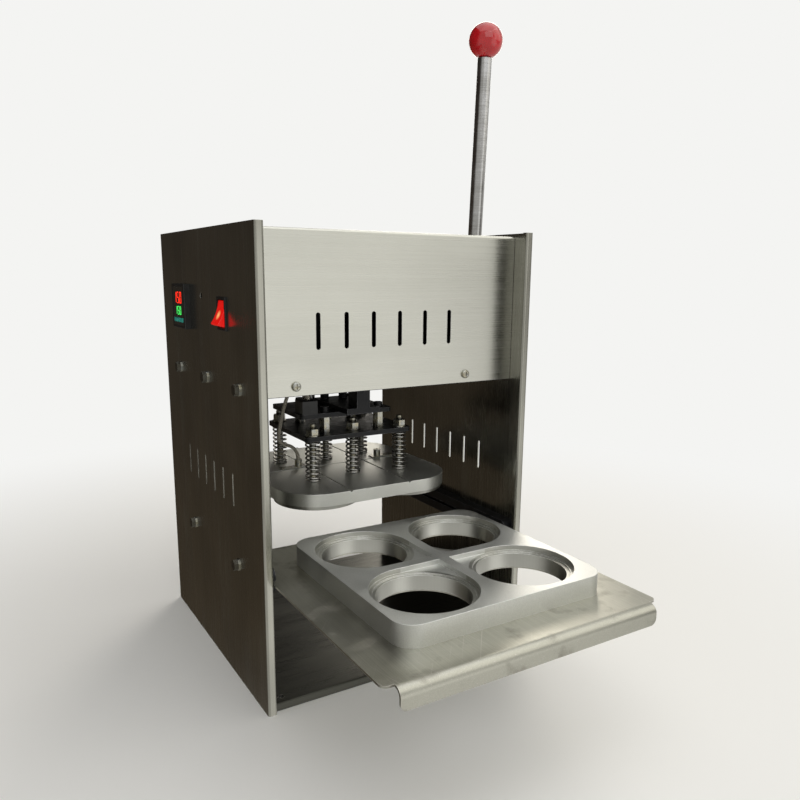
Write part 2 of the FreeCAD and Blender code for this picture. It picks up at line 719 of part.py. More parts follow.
def panel_fasteners():
    """Hex bolts, washers and nuts that hold the rails and the cross frame to the panels."""
    bolts, washers, nuts = [], [], []
    places = [(y, "frame_bolt_z", 11) for y in FRAME_BOLTS] + [(y, "rail_bolt_z", 8.7) for y in RAIL_BOLTS]
    for side in (-1, 1):
        face = f"{side} * cabinet_width / 2"
        inward, outward = ("+x", "-x") if side < 0 else ("-x", "+x")
        for y, z, length in places:
            seat = f"{face} + {side} * washer_thickness"
            bolts.append(joined([
                hexagon("bolt_across", "bolt_head", (seat, y, z), outward),
                rod(M_SIX, length, (seat, y, z), inward),
            ]))
            washers.append(cut(rod("washer_radius", "washer_thickness", (face, y, z), outward),
                               [rod("3.1", 3, (f"{face} - {side}", y, z), outward)]))
        for y in FRAME_BOLTS:
            seat = f"{side} * (cabinet_width / 2 - sheet - frame_plate)"
            nuts.append(cut(hexagon("bolt_across", 5, (seat, y, "frame_bolt_z"), inward),
                            [rod(M_SIX, 5, (seat, y, "frame_bolt_z"), inward)]))
    node(several(bolts), "panel_bolts")
    node(several(washers), "bolt_washers")
    node(several(nuts), "frame_nuts")


panel_fasteners()


def pan_screw(at, inward):
    """A cross-recess pan-head screw; at is the middle of the head's seat."""
    outward = {"+y": "-y", "-y": "+y"}[inward]
    step = {"+y": -1, "-y": 1}[inward]
    x, y, z = at
    head = rod("4.6", 2.8, (x, y, z), outward)
    crown = softened(head, 1.8, lambda e: near(e.CenterOfMass.y, head.Placement.Base.y + step * 2.8, 0.3)
                     and near(e.Length, 2 * math.pi * 4.6, 0.1))
    mouth = f"{y} + {step} * 2.8"
    low = f"{mouth} - 1.6" if step > 0 else mouth
    cross = [
        block((5, 1.6, 0.9), (f"{x} - 2.5", low, f"{z} - 0.45")),
        block((0.9, 1.6, 5), (f"{x} - 0.45", low, f"{z} - 2.5")),
    ]
    return joined([cut(crown, cross), rod(M_FOUR, 8, at, inward)])


node(several(
    [pan_screw((x, "cover_front", "screw_height"), "+y") for x in ("screw_left", "screw_right")]
    + [pan_screw((x, "cover_back + sheet", z), "-y") for x in REAR_SCREWS_X for z in REAR_SCREWS_Z]
), "cover_screws")

node(cut(
    joined([
        hexagon(22, 5, ("gland_x", "cover_back + sheet", "gland_z"), "+y"),
        rod("8", 16, ("gland_x", "cover_back - 8", "gland_z"), "+y"),
        cone(9.5, 7.5, 12, ("gland_x", "cover_back + sheet + 5", "gland_z"), "+y"),
        hexagon(22, 5, ("gland_x", "cover_back - 5", "gland_z"), "+y"),
    ]),
    [rod("4", 60, ("gland_x", "cover_back - 20", "gland_z"), "+y")],
), "cable_gland")


# ---- controls ------------------------------------------------------------------------------

FACE_X = "-cabinet_width / 2 - controller_proud"
KEYS = [f"controller_y + ({i} - 1.5) * key_pitch" for i in range(4)]


def controller():
    """The temperature controller: housing, window, mounting frame and four keys."""
    half = "controller_size / 2"
    bezel = block(("controller_proud", "controller_size", "controller_size"),
                  (FACE_X, f"controller_y - {half}", f"controller_z - {half}"))
    eased = softened(bezel, 1.2, lambda e: near(e.CenterOfMass.x, bezel.Placement.Base.x))
    body = block(("controller_depth", "controller_body", "controller_body"),
                 ("-cabinet_width / 2", "controller_y - controller_body / 2", "controller_z - controller_body / 2"))
    window = block((1.5, "face_size", "face_size"),
                   (FACE_X, "controller_y - face_size / 2", "controller_z - face_size / 2"))
    key_low = "controller_z - key_drop - key_height / 2"
    wells = [block((1.6, "key_width + 0.4", "key_height + 0.4"),
                   (f"{FACE_X} + 1.5", f"{y} - key_width / 2 - 0.2", f"{key_low} - 0.2")) for y in KEYS]
    node(cut(joined([eased, body]), [window] + wells), "controller_housing")
    glass = block((1.2, "face_size", "face_size"),
                  (f"{FACE_X} + 0.3", "controller_y - face_size / 2", "controller_z - face_size / 2"))
    holes = [block((2, "key_width + 0.4", "key_height + 0.4"),
                   (FACE_X, f"{y} - key_width / 2 - 0.2", f"{key_low} - 0.2")) for y in KEYS]
    node(cut(glass, holes), "controller_face")
    back = "sheet - cabinet_width / 2"
    clip = block((8, 52, 52), (back, "controller_y - 26", "controller_z - 26"))
    through = block((10, "controller_body", "controller_body"),
                    (f"{back} - 1", "controller_y - controller_body / 2", "controller_z - controller_body / 2"))
    node(cut(clip, [through]), "controller_clip")
    for number, y in enumerate(KEYS, start=1):
        key = block((1.6, "key_width", "key_height"), (f"{FACE_X} - 0.2", f"{y} - key_width / 2", key_low))
        node(softened(key, 0.4, lambda e, k=key: near(e.CenterOfMass.x, k.Placement.Base.x)), f"key_{number}")


controller()


PIVOT_RADIUS = 1.5


def rocker_switch():
    """The lit rocker switch: a bezel with a deep well, and the rocker that turns in it."""
    bezel = block((2, "bezel_width", "bezel_height"),
                  ("-cabinet_width / 2 - 2", "switch_y - bezel_width / 2", "switch_z - bezel_height / 2"))
    eased = softened(bezel, 0.8, lambda e: near(e.CenterOfMass.x, bezel.Placement.Base.x))
    body = block((20, 22, 30), ("-cabinet_width / 2", "switch_y - 11", "switch_z - 15"))
    well = block((13, 19.6, 26.6), ("-cabinet_width / 2 - 2", "switch_y - 9.8", "switch_z - 13.3"))
    blades = [block((9, 6.3, 0.8), ("20 - cabinet_width / 2", "switch_y - 3.15", f"switch_z + {z}"))
              for z in (-10, -0.4, 9)]
    pivot = "-cabinet_width / 2 + 2"
    bearing = rod(f"{PIVOT_RADIUS} + running_gap", 21.2, (pivot, "switch_y - 10.6", "switch_z"), "+y")
    node(joined([cut(joined([eased, body]), [well, bearing])] + blades), "switch_housing")
    corners = [
        (f"{pivot} - 2.6", "switch_z + 12.3"),
        (f"{pivot} - 5.2", "switch_z"),
        (f"{pivot} - 11", "switch_z - 9.5"),
        (f"{pivot} - 9.6", "switch_z - 10.7"),
        (f"{pivot} - 0.5", "switch_z - 12.8"),
        (f"{pivot} + 2.5", "switch_z - 8"),
        (f"{pivot} + 3.5", "switch_z"),
        (f"{pivot} + 2.5", "switch_z + 8"),
        (pivot, "switch_z + 12.6"),
    ]
    body = extruded("rocker_body", "XZ_Plane", corners, 19)
    place(body, (0, "switch_y", 0))
    trunnions = rod(PIVOT_RADIUS, 21, (pivot, "switch_y - 10.5", "switch_z"), "+y")
    node(joined([body, trunnions]), "rocker")


rocker_switch()


# ---- drawer and mould ----------------------------------------------------------------------

MOULD_Y = "press_y - drawer_travel"
QUARTERS = [(i, j) for i in (-1, 1) for j in (-1, 1)]
MOULD_SCREWS = [(f"press_x + {i} * mould_screw", f"{MOULD_Y} + {j} * mould_screw") for i, j in QUARTERS]


def drawer_plate():
    """The sliding sheet: a turned-down lip in front and an opening under each cup."""
    low = "drawer_top - drawer_sheet"
    corners = [
        ("drawer_back", "drawer_top"),
        ("drawer_back", low),
        ("drawer_front + drawer_sheet", low),
        ("drawer_front + drawer_sheet", "drawer_top - lip_drop"),
        ("drawer_front", "drawer_top - lip_drop"),
        ("drawer_front", "drawer_top"),
    ]
    body = extruded("drawer_sheet_body", "YZ_Plane", corners, "drawer_width")
    front, top, thick = VALUES["drawer_front"], VALUES["drawer_top"], VALUES["drawer_sheet"]
    rounded(body, VALUES["lip_bend"], edge_at(x=0, y=front, z=top), "lip_outside")
    rounded(body, VALUES["lip_bend"] - thick, edge_at(x=0, y=front + thick, z=top - thick), "lip_inside")
    notch = ("lip_notch", 9.5, "lip_drop + 2")
    tools = [
        block(notch, ("-drawer_width / 2", "drawer_front - 0.5", "drawer_top - lip_drop - 1")),
        block(notch, ("drawer_width / 2 - lip_notch", "drawer_front - 0.5", "drawer_top - lip_drop - 1")),
    ]
    half = "cup_pitch / 2"
    for i, j in QUARTERS:
        tools.append(rod("drawer_hole_radius", 6,
                         (f"press_x + {i} * {half}", f"{MOULD_Y} + {j} * {half}", "drawer_top - 4")))
    tools += [rod(M_FIVE_HOLE, 6, (x, y, "drawer_top - 4")) for x, y in MOULD_SCREWS]
    holed = cut(body, tools)
    half_width = VALUES["drawer_width"] / 2
    lip_half = half_width - VALUES["lip_notch"]
    corner_y = front + 9
    corner_tests = [edge_at(x=s * half_width, y=y) for s in (-1, 1) for y in (corner_y, VALUES["drawer_back"])]
    lip_low = top - VALUES["lip_drop"]
    corner_tests += [edge_at(x=s * lip_half, z=lip_low) for s in (-1, 1)]
    return node(softened(holed, 6.0, any_of(*corner_tests)), "drawer_plate")


drawer_plate()


def mould_plate():
    """The aluminium plate that holds four cups by their rims."""
    body = doc.addObject("PartDesign::Body", "mould_body")
    half = "mould_size / 2"
    square = sketch_on(body, "XY_Plane", "mould_square")
    side = VALUES["mould_size"] / 2
    polygon(square, [(f"-{half}", f"-{half}"), (half, f"-{half}"), (half, half), (f"-{half}", half)],
            [(-side, -side), (side, -side), (side, side), (-side, side)])
    pad = body.newObject("PartDesign::Pad", "mould_pad")
    pad.Profile = square
    bind(pad, Length="mould_thickness")
    middle = VALUES["mould_thickness"] / 2
    rounded(body, VALUES["mould_corner"], lambda e: near(e.CenterOfMass.z, middle), "mould_corners")
    doc.recompute()
    centre = "cup_pitch / 2"
    rough = (VALUES["cup_pitch"] / 2, VALUES["cup_pitch"] / 2)
    originals = []

    def pocket(name, draw, depth):
        sketch = sketch_on(body, "XY_Plane", name + "_outline")
        bind(sketch, **{"AttachmentOffset.Base.z": "mould_thickness"})
        draw(sketch)
        item = body.newObject("PartDesign::Pocket", name)
        item.Profile = sketch
        bind(item, Length=depth)
        originals.append(item)

    inner = "cup_pitch / 2 - rim_radius"
    low = VALUES["cup_pitch"] / 2 - VALUES["rim_radius"]
    pocket("rim_recess", lambda s: disc(s, centre, centre, "rim_radius", rough), "rim_depth")
    pocket("inner_corner", lambda s: polygon(
        s, [(inner, inner), (centre, inner), (centre, centre), (inner, centre)],
        [(low, low), (rough[0], low), rough, (low, rough[1])]), "rim_depth")
    pocket("seat", lambda s: disc(s, centre, centre, "seat_radius", rough), "rim_depth + seat_depth")
    pocket("bore", lambda s: disc(s, centre, centre, "bore_radius", rough), "mould_thickness + 1")
    doc.recompute()
    pattern = body.newObject("PartDesign::PolarPattern", "four_cups")
    pattern.Originals = originals
    pattern.Axis = (square, ["N_Axis"])
    pattern.Angle = 360
    pattern.Occurrences = 4
    body.Tip = pattern
    place(body, ("press_x", MOULD_Y, "drawer_top"))
    holes = [rod(M_FIVE, 13, (x, y, "drawer_top")) for x, y in MOULD_SCREWS]
    return node(cut(body, holes), "mould_plate")


mould_plate()

node(several([
    joined([
        rod(HEAD_RADIUS, 5, (x, y, "drawer_top - drawer_sheet"), "-z"),
        rod(M_FIVE, 14, (x, y, "drawer_top - drawer_sheet")),
    ])
    for x, y in MOULD_SCREWS
]), "mould_screws")


# ---- heating plate -------------------------------------------------------------------------

STUDS = [(f"press_x + {i} * stud_x", f"press_y + {j} * (stud_y - {1 - abs(i)} * stud_inset)")
         for i in (-1, 0, 1) for j in (-1, 1)]
TERMINALS = [(f"press_x + terminal_shift + {i} * terminal_x", "press_y + terminal_y") for i in (-1, 1)]
HEATER_LOW = "heater_top - heater_thickness"


def heating_plate():
    """The aluminium plate over the mould, grooved on top, with bores for its heaters."""
    body = doc.addObject("PartDesign::Body", "heater_body")
    half = "heater_size / 2"
    square = sketch_on(body, "XY_Plane", "heater_square")
    side = VALUES["heater_size"] / 2
    polygon(square, [(f"-{half}", f"-{half}"), (half, f"-{half}"), (half, half), (f"-{half}", half)],
            [(-side, -side), (side, -side), (side, side), (-side, side)])
    pad = body.newObject("PartDesign::Pad", "heater_pad")
    pad.Profile = square
    bind(pad, Length="heater_thickness")
    middle = VALUES["heater_thickness"] / 2
    rounded(body, VALUES["heater_corner"], lambda e: near(e.CenterOfMass.z, middle), "heater_corners")
    place(body, ("press_x", "press_y", HEATER_LOW))
    groove_low = "heater_top - groove_depth"
    tools = [
        block(("groove_width", "heater_size + 2", 5),
              (f"press_x + {i} * groove_x - groove_width / 2", "press_y - heater_size / 2 - 1", groove_low))
        for i in (-1, 1)
    ]
    tools.append(block(("heater_size + 2", "groove_width", 5),
                       ("press_x - heater_size / 2 - 1", "press_y + groove_back - groove_width / 2", groove_low)))
    tools += [rod("stud_radius", 10, (x, y, "heater_top - 9")) for x, y in STUDS]
    tools += [rod("cartridge_radius", "cartridge_length + 1",
                  ("press_x - heater_size / 2 - 1", f"press_y + {j} * cartridge_y",
                   "heater_top - heater_thickness / 2"), "+x") for j in (-1, 1)]
    tools += [rod(M_FIVE, 8, (x, y, "heater_top - 6")) for x, y in TERMINALS]
    tools += [rod(M_FIVE, 8, (f"press_x + {i} * cup_pitch / 2", f"press_y + {j} * cup_pitch / 2",
                             f"{HEATER_LOW} - 1")) for i, j in QUARTERS]
    tools.append(rod(M_FIVE, 21, ("press_x", "press_y + heater_size / 2 - 20", "heater_top - heater_thickness / 2"),
                     "+y"))
    return node(cut(body, tools), "heating_plate")


heating_plate()


def sealing_discs():
    """Round faces that press the film on the cup rims, each held by a countersunk screw."""
    discs, screws = [], []
    for i, j in QUARTERS:
        x, y = f"press_x + {i} * cup_pitch / 2", f"press_y + {j} * cup_pitch / 2"
        low = f"{HEATER_LOW} - disc_thickness"
        plain = rod("disc_radius", "disc_thickness", (x, y, low))
        eased = softened(plain, 0.8, lambda e, p=plain: near(e.CenterOfMass.z, p.Placement.Base.z))
        sink = cone(5, 2.5, 2.5, (x, y, low))
        discs.append(cut(eased, [joined([sink, rod(M_FIVE, 8, (x, y, low))])]))
        screws.append(cut(
            joined([cone(5, 2.5, 2.5, (x, y, low)), rod(M_FIVE, 10, (x, y, low))]),
            [hexagon(3, 1.6, (x, y, low))]))
    node(several(discs), "sealing_discs")
    node(several(screws), "disc_screws")


sealing_discs()

node(several([
    rod("cartridge_radius", "cartridge_length", ("press_x - heater_size / 2", f"press_y + {j} * cartridge_y",
                                                "heater_top - heater_thickness / 2"), "+x")
    for j in (-1, 1)
]), "cartridge_heaters")

node(joined([
    rod(M_FIVE, 20, ("press_x", "press_y + heater_size / 2 - 20", "heater_top - heater_thickness / 2"), "+y"),
    hexagon(9, 6, ("press_x", "press_y + heater_size / 2", "heater_top - heater_thickness / 2"), "+y"),
    rod("2.2", 16, ("press_x", "press_y + heater_size / 2 + 6", "heater_top - heater_thickness / 2"), "+y"),
]), "thermocouple")

STRAP_LENGTH, STRAP_WIDTH, STRAP_OVERHANG = 31, 10, 9
STRAPS = [f"{TERMINALS[0][0]} + {STRAP_OVERHANG} - {STRAP_LENGTH}", f"{TERMINALS[1][0]} - {STRAP_OVERHANG}"]
node(several([
    cut(
        joined([
            rod(M_FIVE, 6, (x, y, "heater_top - 6")),
            rod("4.2", 9.5, (x, y, "heater_top")),
            block((STRAP_LENGTH, STRAP_WIDTH, 1.5), (low, f"{y} - {STRAP_WIDTH} / 2", "heater_top")),
        ]),
        [hexagon(4, 4, (x, y, "heater_top + 6"))],
    )
    for (x, y), low in zip(TERMINALS, STRAPS)
]), "lead_terminals")

STUD_SINK = 9
node(several([
    rod("stud_radius", f"plate_low + plate_thickness + stud_proud - heater_top + {STUD_SINK}",
        (x, y, f"heater_top - {STUD_SINK}"))
    for x, y in STUDS
]), "spring_studs")

NUT_SEAT = "plate_low + plate_thickness"
node(several([
    cut(
        joined([
            rod("8", 1.6, (x, y, NUT_SEAT)),
            hexagon(13, 6.5, (x, y, f"{NUT_SEAT} + 1.6")),
        ]),
        [rod("stud_radius", 10, (x, y, NUT_SEAT))],
    )
    for x, y in STUDS
]), "stud_nuts")


# ---- press head ----------------------------------------------------------------------------

def press_plate():
    """The black plate that the studs slide through."""
    plate = block(("plate_width", "plate_depth", "plate_thickness"),
                  ("press_x - plate_width / 2", "press_y - plate_depth / 2", "plate_low"))
    middle = VALUES["plate_low"] + VALUES["plate_thickness"] / 2
    shaped = softened(plate, 5.0, lambda e: near(e.CenterOfMass.z, middle))
    tools = [rod("stud_radius + 0.3", 9, (x, y, "plate_low - 2")) for x, y in STUDS]
    tools += [rod(M_SIX, 9, (x, y, "plate_low - 2")) for x, y in STANDOFFS]
    return node(cut(shaped, tools), "press_plate")


STANDOFFS = [(f"press_x + {i} * standoff_pitch / 2", f"press_y + {j} * standoff_pitch / 2") for i, j in QUARTERS]
UPPER_LOW = f"{NUT_SEAT} + standoff_height"
UPPER_TOP = f"{UPPER_LOW} + upper_thickness"
YOKE_SCREWS = [(f"press_x + {i} * 12", "guide_y") for i in (-1, 1)]
GUIDES = [(f"press_x + {i} * guide_x", "guide_y") for i in (-1, 1)]
SCREW_BITE = 10

press_plate()

node(several([
    cut(
        joined([
            hexagon("standoff_across", "standoff_height", (x, y, NUT_SEAT)),
            rod(M_SIX, "plate_thickness", (x, y, "plate_low")),
        ]),
        [rod(M_SIX, SCREW_BITE + 1, (x, y, f"{UPPER_LOW} - {SCREW_BITE}"))],
    )
    for x, y in STANDOFFS
]), "standoffs")


def upper_plate():
    """The second black plate, on four spacers, that the guide rods and the yoke stand on."""
    plate = block(("upper_right - upper_left", "upper_back - upper_front", "upper_thickness"),
                  ("upper_left", "upper_front", UPPER_LOW))
    sides = (VALUES["upper_left"], VALUES["upper_right"])
    ends = (VALUES["upper_front"], VALUES["upper_back"])
    shaped = softened(plate, 4.0, any_of(*[edge_at(x=x, y=y) for x in sides for y in ends]))
    tools = [rod(M_SIX, 8, (x, y, f"{UPPER_LOW} - 1")) for x, y in STANDOFFS + YOKE_SCREWS]
    tools += [rod("guide_radius", 8, (x, y, f"{UPPER_LOW} - 1")) for x, y in GUIDES]
    return node(cut(shaped, tools), "upper_plate")


upper_plate()


def yoke():
    """A foot on the upper plate and an upright in front of the shaft, slotted for the crank pin."""
    front = "shaft_y - yoke_reach"
    foot = block(("yoke_foot_width", "yoke_foot_depth", "yoke_foot"),
                 ("press_x - yoke_foot_width / 2", front, UPPER_TOP))
    upright = block(("yoke_width", "yoke_depth", "yoke_height"),
                    ("press_x - yoke_width / 2", front, f"{UPPER_TOP} + yoke_foot"))
    high = "2 * (pin_radius + slot_gap)"
    tools = [
        block(("yoke_width + 2", "yoke_slot", high), ("press_x - yoke_width / 2 - 1", "shaft_y - yoke_reach + 4",
                                              f"shaft_z + crank_radius * sin({VALUES['crank_rest']:g} deg) "
                                              f"- pin_radius - slot_gap")),
    ]
    tools += [rod(M_SIX, 8, (x, y, f"{UPPER_TOP} - 1")) for x, y in YOKE_SCREWS]
    return node(cut(joined([foot, upright]), tools), "yoke")


yoke()


def cap_screw(x, y, seat, length):
    """A socket-head cap screw pointing down; seat is the Z of the underside of its head."""
    body = joined([rod("5", 6, (x, y, seat)), rod(M_SIX, length, (x, y, seat), "-z")])
    return cut(body, [hexagon(5, 4, (x, y, f"{seat} + 3"))])


node(several(
    [cap_screw(x, y, UPPER_TOP, f"upper_thickness + {SCREW_BITE}") for x, y in STANDOFFS]
    + [cap_screw(x, y, f"{UPPER_TOP} + yoke_foot", "yoke_foot + upper_thickness") for x, y in YOKE_SCREWS]
), "head_screws")

node(several([
    rod("guide_radius", "guide_length", (x, y, UPPER_LOW)) for x, y in GUIDES
]), "guide_rods")

SPRING_FOOT = "frame_top + 3"
COLLAR_LOW = f"{SPRING_FOOT} + return_length"
node(several([
    cut(
        rod("collar_radius", "collar_height", (x, y, COLLAR_LOW)),
        [rod("guide_radius", "collar_height + 2", (x, y, f"{COLLAR_LOW} - 1"))],
    )
    for x, y in GUIDES
]), "rod_collars")


def coil(at, radius, wire, pitch, height):
    """A round-wire spring standing on a point."""
    helix = doc.addObject("Part::Helix", "helix")
    bind(helix, Radius=radius, Pitch=pitch, Height=f"{height} - {wire}")
    section = doc.addObject("Part::Circle", "wire")
    bind(section, Radius=f"{wire} / 2")
    place(section, (radius, 0, 0), FreeCAD.Rotation(FreeCAD.Vector(1, 0, 0), 90))
    doc.recompute()
    sweep = doc.addObject("Part::Sweep", "coil")
    sweep.Sections = [section]
    sweep.Spine = (helix, [f"Edge{i + 1}" for i in range(len(helix.Shape.Edges))])
    sweep.Solid = True
    sweep.Frenet = True
    x, y, z = at
    return place(sweep, (x, y, f"{z} + {wire} / 2"))


node(several([
    coil((x, y, "heater_top"), "spring_radius", "spring_wire", "spring_pitch", "(plate_low - heater_top)")
    for x, y in STUDS
]), "press_springs")

node(several([
    coil((x, y, SPRING_FOOT), "return_radius", "return_wire", "return_pitch", "return_length") for x, y in GUIDES
]), "return_springs")


def terminal_block():
    """A black terminal block at the front left of the upper plate, with a well for each lead."""
    body = block((18, 20, BLOCK_HEIGHT), ("press_x - 64", "press_y - 42", UPPER_TOP))
    eased = softened(body, 2.0, lambda e: near(e.CenterOfMass.z, worked(f"{UPPER_TOP} + {BLOCK_HEIGHT}")))
    wells = [rod("lead_radius + 1", 9, ("press_x - 55", f"press_y - {back}", f"{UPPER_TOP} + {BLOCK_HEIGHT} - 8"))
             for back in (WELL_FRONT, WELL_BACK)]
    node(cut(eased, wells), "terminal_block")


BLOCK_HEIGHT = 16
WELL_FRONT, WELL_BACK = 37, 27
terminal_block()


# ---- lever ---------------------------------------------------------------------------------

def crank_arm(side, label):
    """A plate from the shaft to the crank pin, made along +Y and then turned up to its rest."""
    hub = rod("15", "crank_plate", (0, 0, 0), "+x")
    tip = rod("9", "crank_plate", (0, "crank_radius", 0), "+x")
    web = block(("crank_plate", "crank_radius", 18), (0, 0, -9))
    tools = [
        rod("shaft_radius", "crank_plate + 2", (-1, 0, 0), "+x"),
        rod("pin_radius", "crank_plate + 2", (-1, "crank_radius", 0), "+x"),
    ]
    arm = cut(joined([hub, tip, web]), tools)
    gap = "(yoke_width / 2 + 1)"
    x = f"press_x + {gap}" if side > 0 else f"press_x - {gap} - crank_plate"
    turn = FreeCAD.Rotation(FreeCAD.Vector(1, 0, 0), 180 - VALUES["crank_rest"])
    return node(place(arm, (x, "shaft_y", "shaft_z"), turn), label)


crank_arm(-1, "crank_arm_left")
crank_arm(1, "crank_arm_right")


def crank_pin():
    angle = f"{VALUES['crank_rest']:g} deg"
    reach = "yoke_width / 2 + 1 + crank_plate"
    at = (f"press_x - ({reach})", f"shaft_y - crank_radius * cos({angle})",
          f"shaft_z + crank_radius * sin({angle})")
    return node(rod("pin_radius", f"2 * ({reach})", at, "+x"), "crank_pin")


crank_pin()

shaft_end = "hub_inner + hub_length + 3"
shaft_start = "press_x - block_x - block_plate - 12"
shaft = rod("shaft_radius", f"{shaft_end} - ({shaft_start})", (shaft_start, "shaft_y", "shaft_z"), "+x")
node(softened(shaft, 1.0, lambda e: near(e.Length, 2 * math.pi * VALUES["shaft_radius"], 0.1)), "lever_shaft")

node(cut(
    rod("13", 9, (f"{shaft_start} + 0.7", "shaft_y", "shaft_z"), "+x"),
    [rod("shaft_radius", 12, (f"{shaft_start} - 1", "shaft_y", "shaft_z"), "+x")],
), "shaft_collar")


def lever():
    """The hub on the shaft's outer end, the rod and the ball knob, leaning a little forward."""
    lean = FreeCAD.Rotation(FreeCAD.Vector(1, 0, 0), VALUES["lever_lean"])
    at = ("hub_inner + hub_length / 2", "shaft_y", "shaft_z")
    barrel = rod("hub_radius", "hub_length", ("-hub_length / 2", 0, 0), "+x")
    eased = softened(barrel, 1.5, lambda e: near(e.Length, 2 * math.pi * VALUES["hub_radius"], 0.1))
    neck = rod("neck_radius", "neck_length", (0, 0, 0))
    tools = [
        rod("shaft_radius", "hub_length + 2", ("-hub_length / 2 - 1", 0, 0), "+x"),
        rod("rod_radius", 30, (0, 0, 10)),
    ]
    node(place(cut(joined([eased, neck]), tools), at, lean), "lever_hub")
    shoulder = "lever_length - 17"
    bar = joined([rod("rod_radius", f"{shoulder} - 10", (0, 0, 10)), rod("5", 14, (0, 0, shoulder))])
    node(place(bar, at, lean), "lever_rod")
    ball = doc.addObject("Part::Sphere", "ball")
    bind(ball, Radius="knob_radius")
    place(ball, (0, 0, "lever_length"))
    tools = [
        block((40, 40, 10), (-20, -20, f"{shoulder} - 10")),
        rod("5", 14, (0, 0, shoulder)),
    ]
    node(place(cut(ball, tools), at, lean), "lever_knob")


lever()


# ---- leads ---------------------------------------------------------------------------------

def tube(points, radius):
    """A round lead along straight runs joined by tangent arcs, each as large as its runs allow."""
    edges = []
    start = points[0]
    for before, corner, after in zip(points, points[1:], points[2:]):
        inward = (corner - before).normalize()
        outward = (after - corner).normalize()
        turn = inward.getAngle(outward)
        trim = 0.45 * min(before.distanceToPoint(corner), corner.distanceToPoint(after))
        bend_radius = trim / math.tan(turn / 2)
        first, last = corner - inward * trim, corner + outward * trim
        bisector = (outward - inward).normalize()
        centre = corner + bisector * (bend_radius / math.cos(turn / 2))
        middle = centre - bisector * bend_radius
        edges.append(Part.LineSegment(start, first).toShape())
        edges.append(Part.Arc(first, middle, last).toShape())
        start = last
    edges.append(Part.LineSegment(start, points[-1]).toShape())
    path = Part.Wire(edges)
    ring = Part.Wire(Part.Circle(points[0], points[1] - points[0], radius).toShape())
    solid = path.makePipeShell([ring], True, True)
    drift = solid.Volume / (math.pi * radius ** 2 * path.Length)
    if abs(drift - 1) > 0.02:
        raise ValueError(f"a lead's volume is off by a factor of {drift:.3f}")
    return solid


def lead(label, points):
    item = doc.addObject("Part::Feature", label)
    item.Shape = tube([FreeCAD.Vector(*p) for p in points], VALUES["lead_radius"])
    item.Placement = FreeCAD.Placement()
    return node(item, label)


PX, PY = VALUES["press_x"], VALUES["press_y"]
TERMINAL_X, TERMINAL_Y = worked(TERMINALS[0][0]), worked(TERMINALS[0][1])
TOP = VALUES["heater_top"]
BLOCK_TOP = worked(f"{UPPER_TOP} + {BLOCK_HEIGHT}")
HUMP = BLOCK_TOP + 15
lead("heater_lead", [
    (TERMINAL_X, TERMINAL_Y, TOP + 9.5),
    (TERMINAL_X - 1, TERMINAL_Y, TOP + 24),
    (PX - 74, PY + 8, TOP + 33),
    (PX - 75, PY - 4, TOP + 56),
    (PX - 74, PY - 18, BLOCK_TOP - 4),
    (PX - 70, PY - WELL_BACK, HUMP),
    (PX - 55, PY - WELL_BACK, HUMP + 1),
    (PX - 55, PY - WELL_BACK, BLOCK_TOP - 5),
])
lead("supply_lead", [
    (PX - 55, PY - WELL_FRONT, BLOCK_TOP - 7),
    (PX - 55, PY - WELL_FRONT, BLOCK_TOP + 8),
    (VALUES["lead_x"], VALUES["lead_y"], VALUES["frame_top"] - 20),
    (VALUES["lead_x"], VALUES["lead_y"], VALUES["frame_top"] + 29),
])


# ---- write the parts -----------------------------------------------------------------------

doc.recompute()
for item in doc.Objects:
    if "Invalid" in item.State or "Error" in item.State:
        raise RuntimeError(f"{item.Name} ({item.Label}) failed: {item.State}")
os.makedirs("parts", exist_ok=True)
for item in nodes:
    shape = item.Shape
    if shape.isNull() or not shape.isValid() or not shape.Solids:
        raise RuntimeError(f"{item.Label} has no valid shape")
    shape.exportStep(f"parts/{item.Label}.step")
    box = shape.BoundBox
    print(f"{item.Label:20s} {len(shape.Solids)} solids {shape.Volume / 1000:9.2f} cm3 "
          f"x {box.XMin:.1f} {box.XMax:.1f} y {box.YMin:.1f} {box.YMax:.1f} z {box.ZMin:.1f} {box.ZMax:.1f}")
print(len(nodes), "nodes")
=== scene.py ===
"""Looks of a hand-lever cup sealing machine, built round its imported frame.

Lengths are in metres unless a name ends in _mm. +X is to the user's right, -Y towards them, +Z up.
"""

import json
import logging
import math
from collections.abc import Sequence
from dataclasses import dataclass
from enum import Enum

import bmesh
import bpy
from mathutils import Matrix, Vector


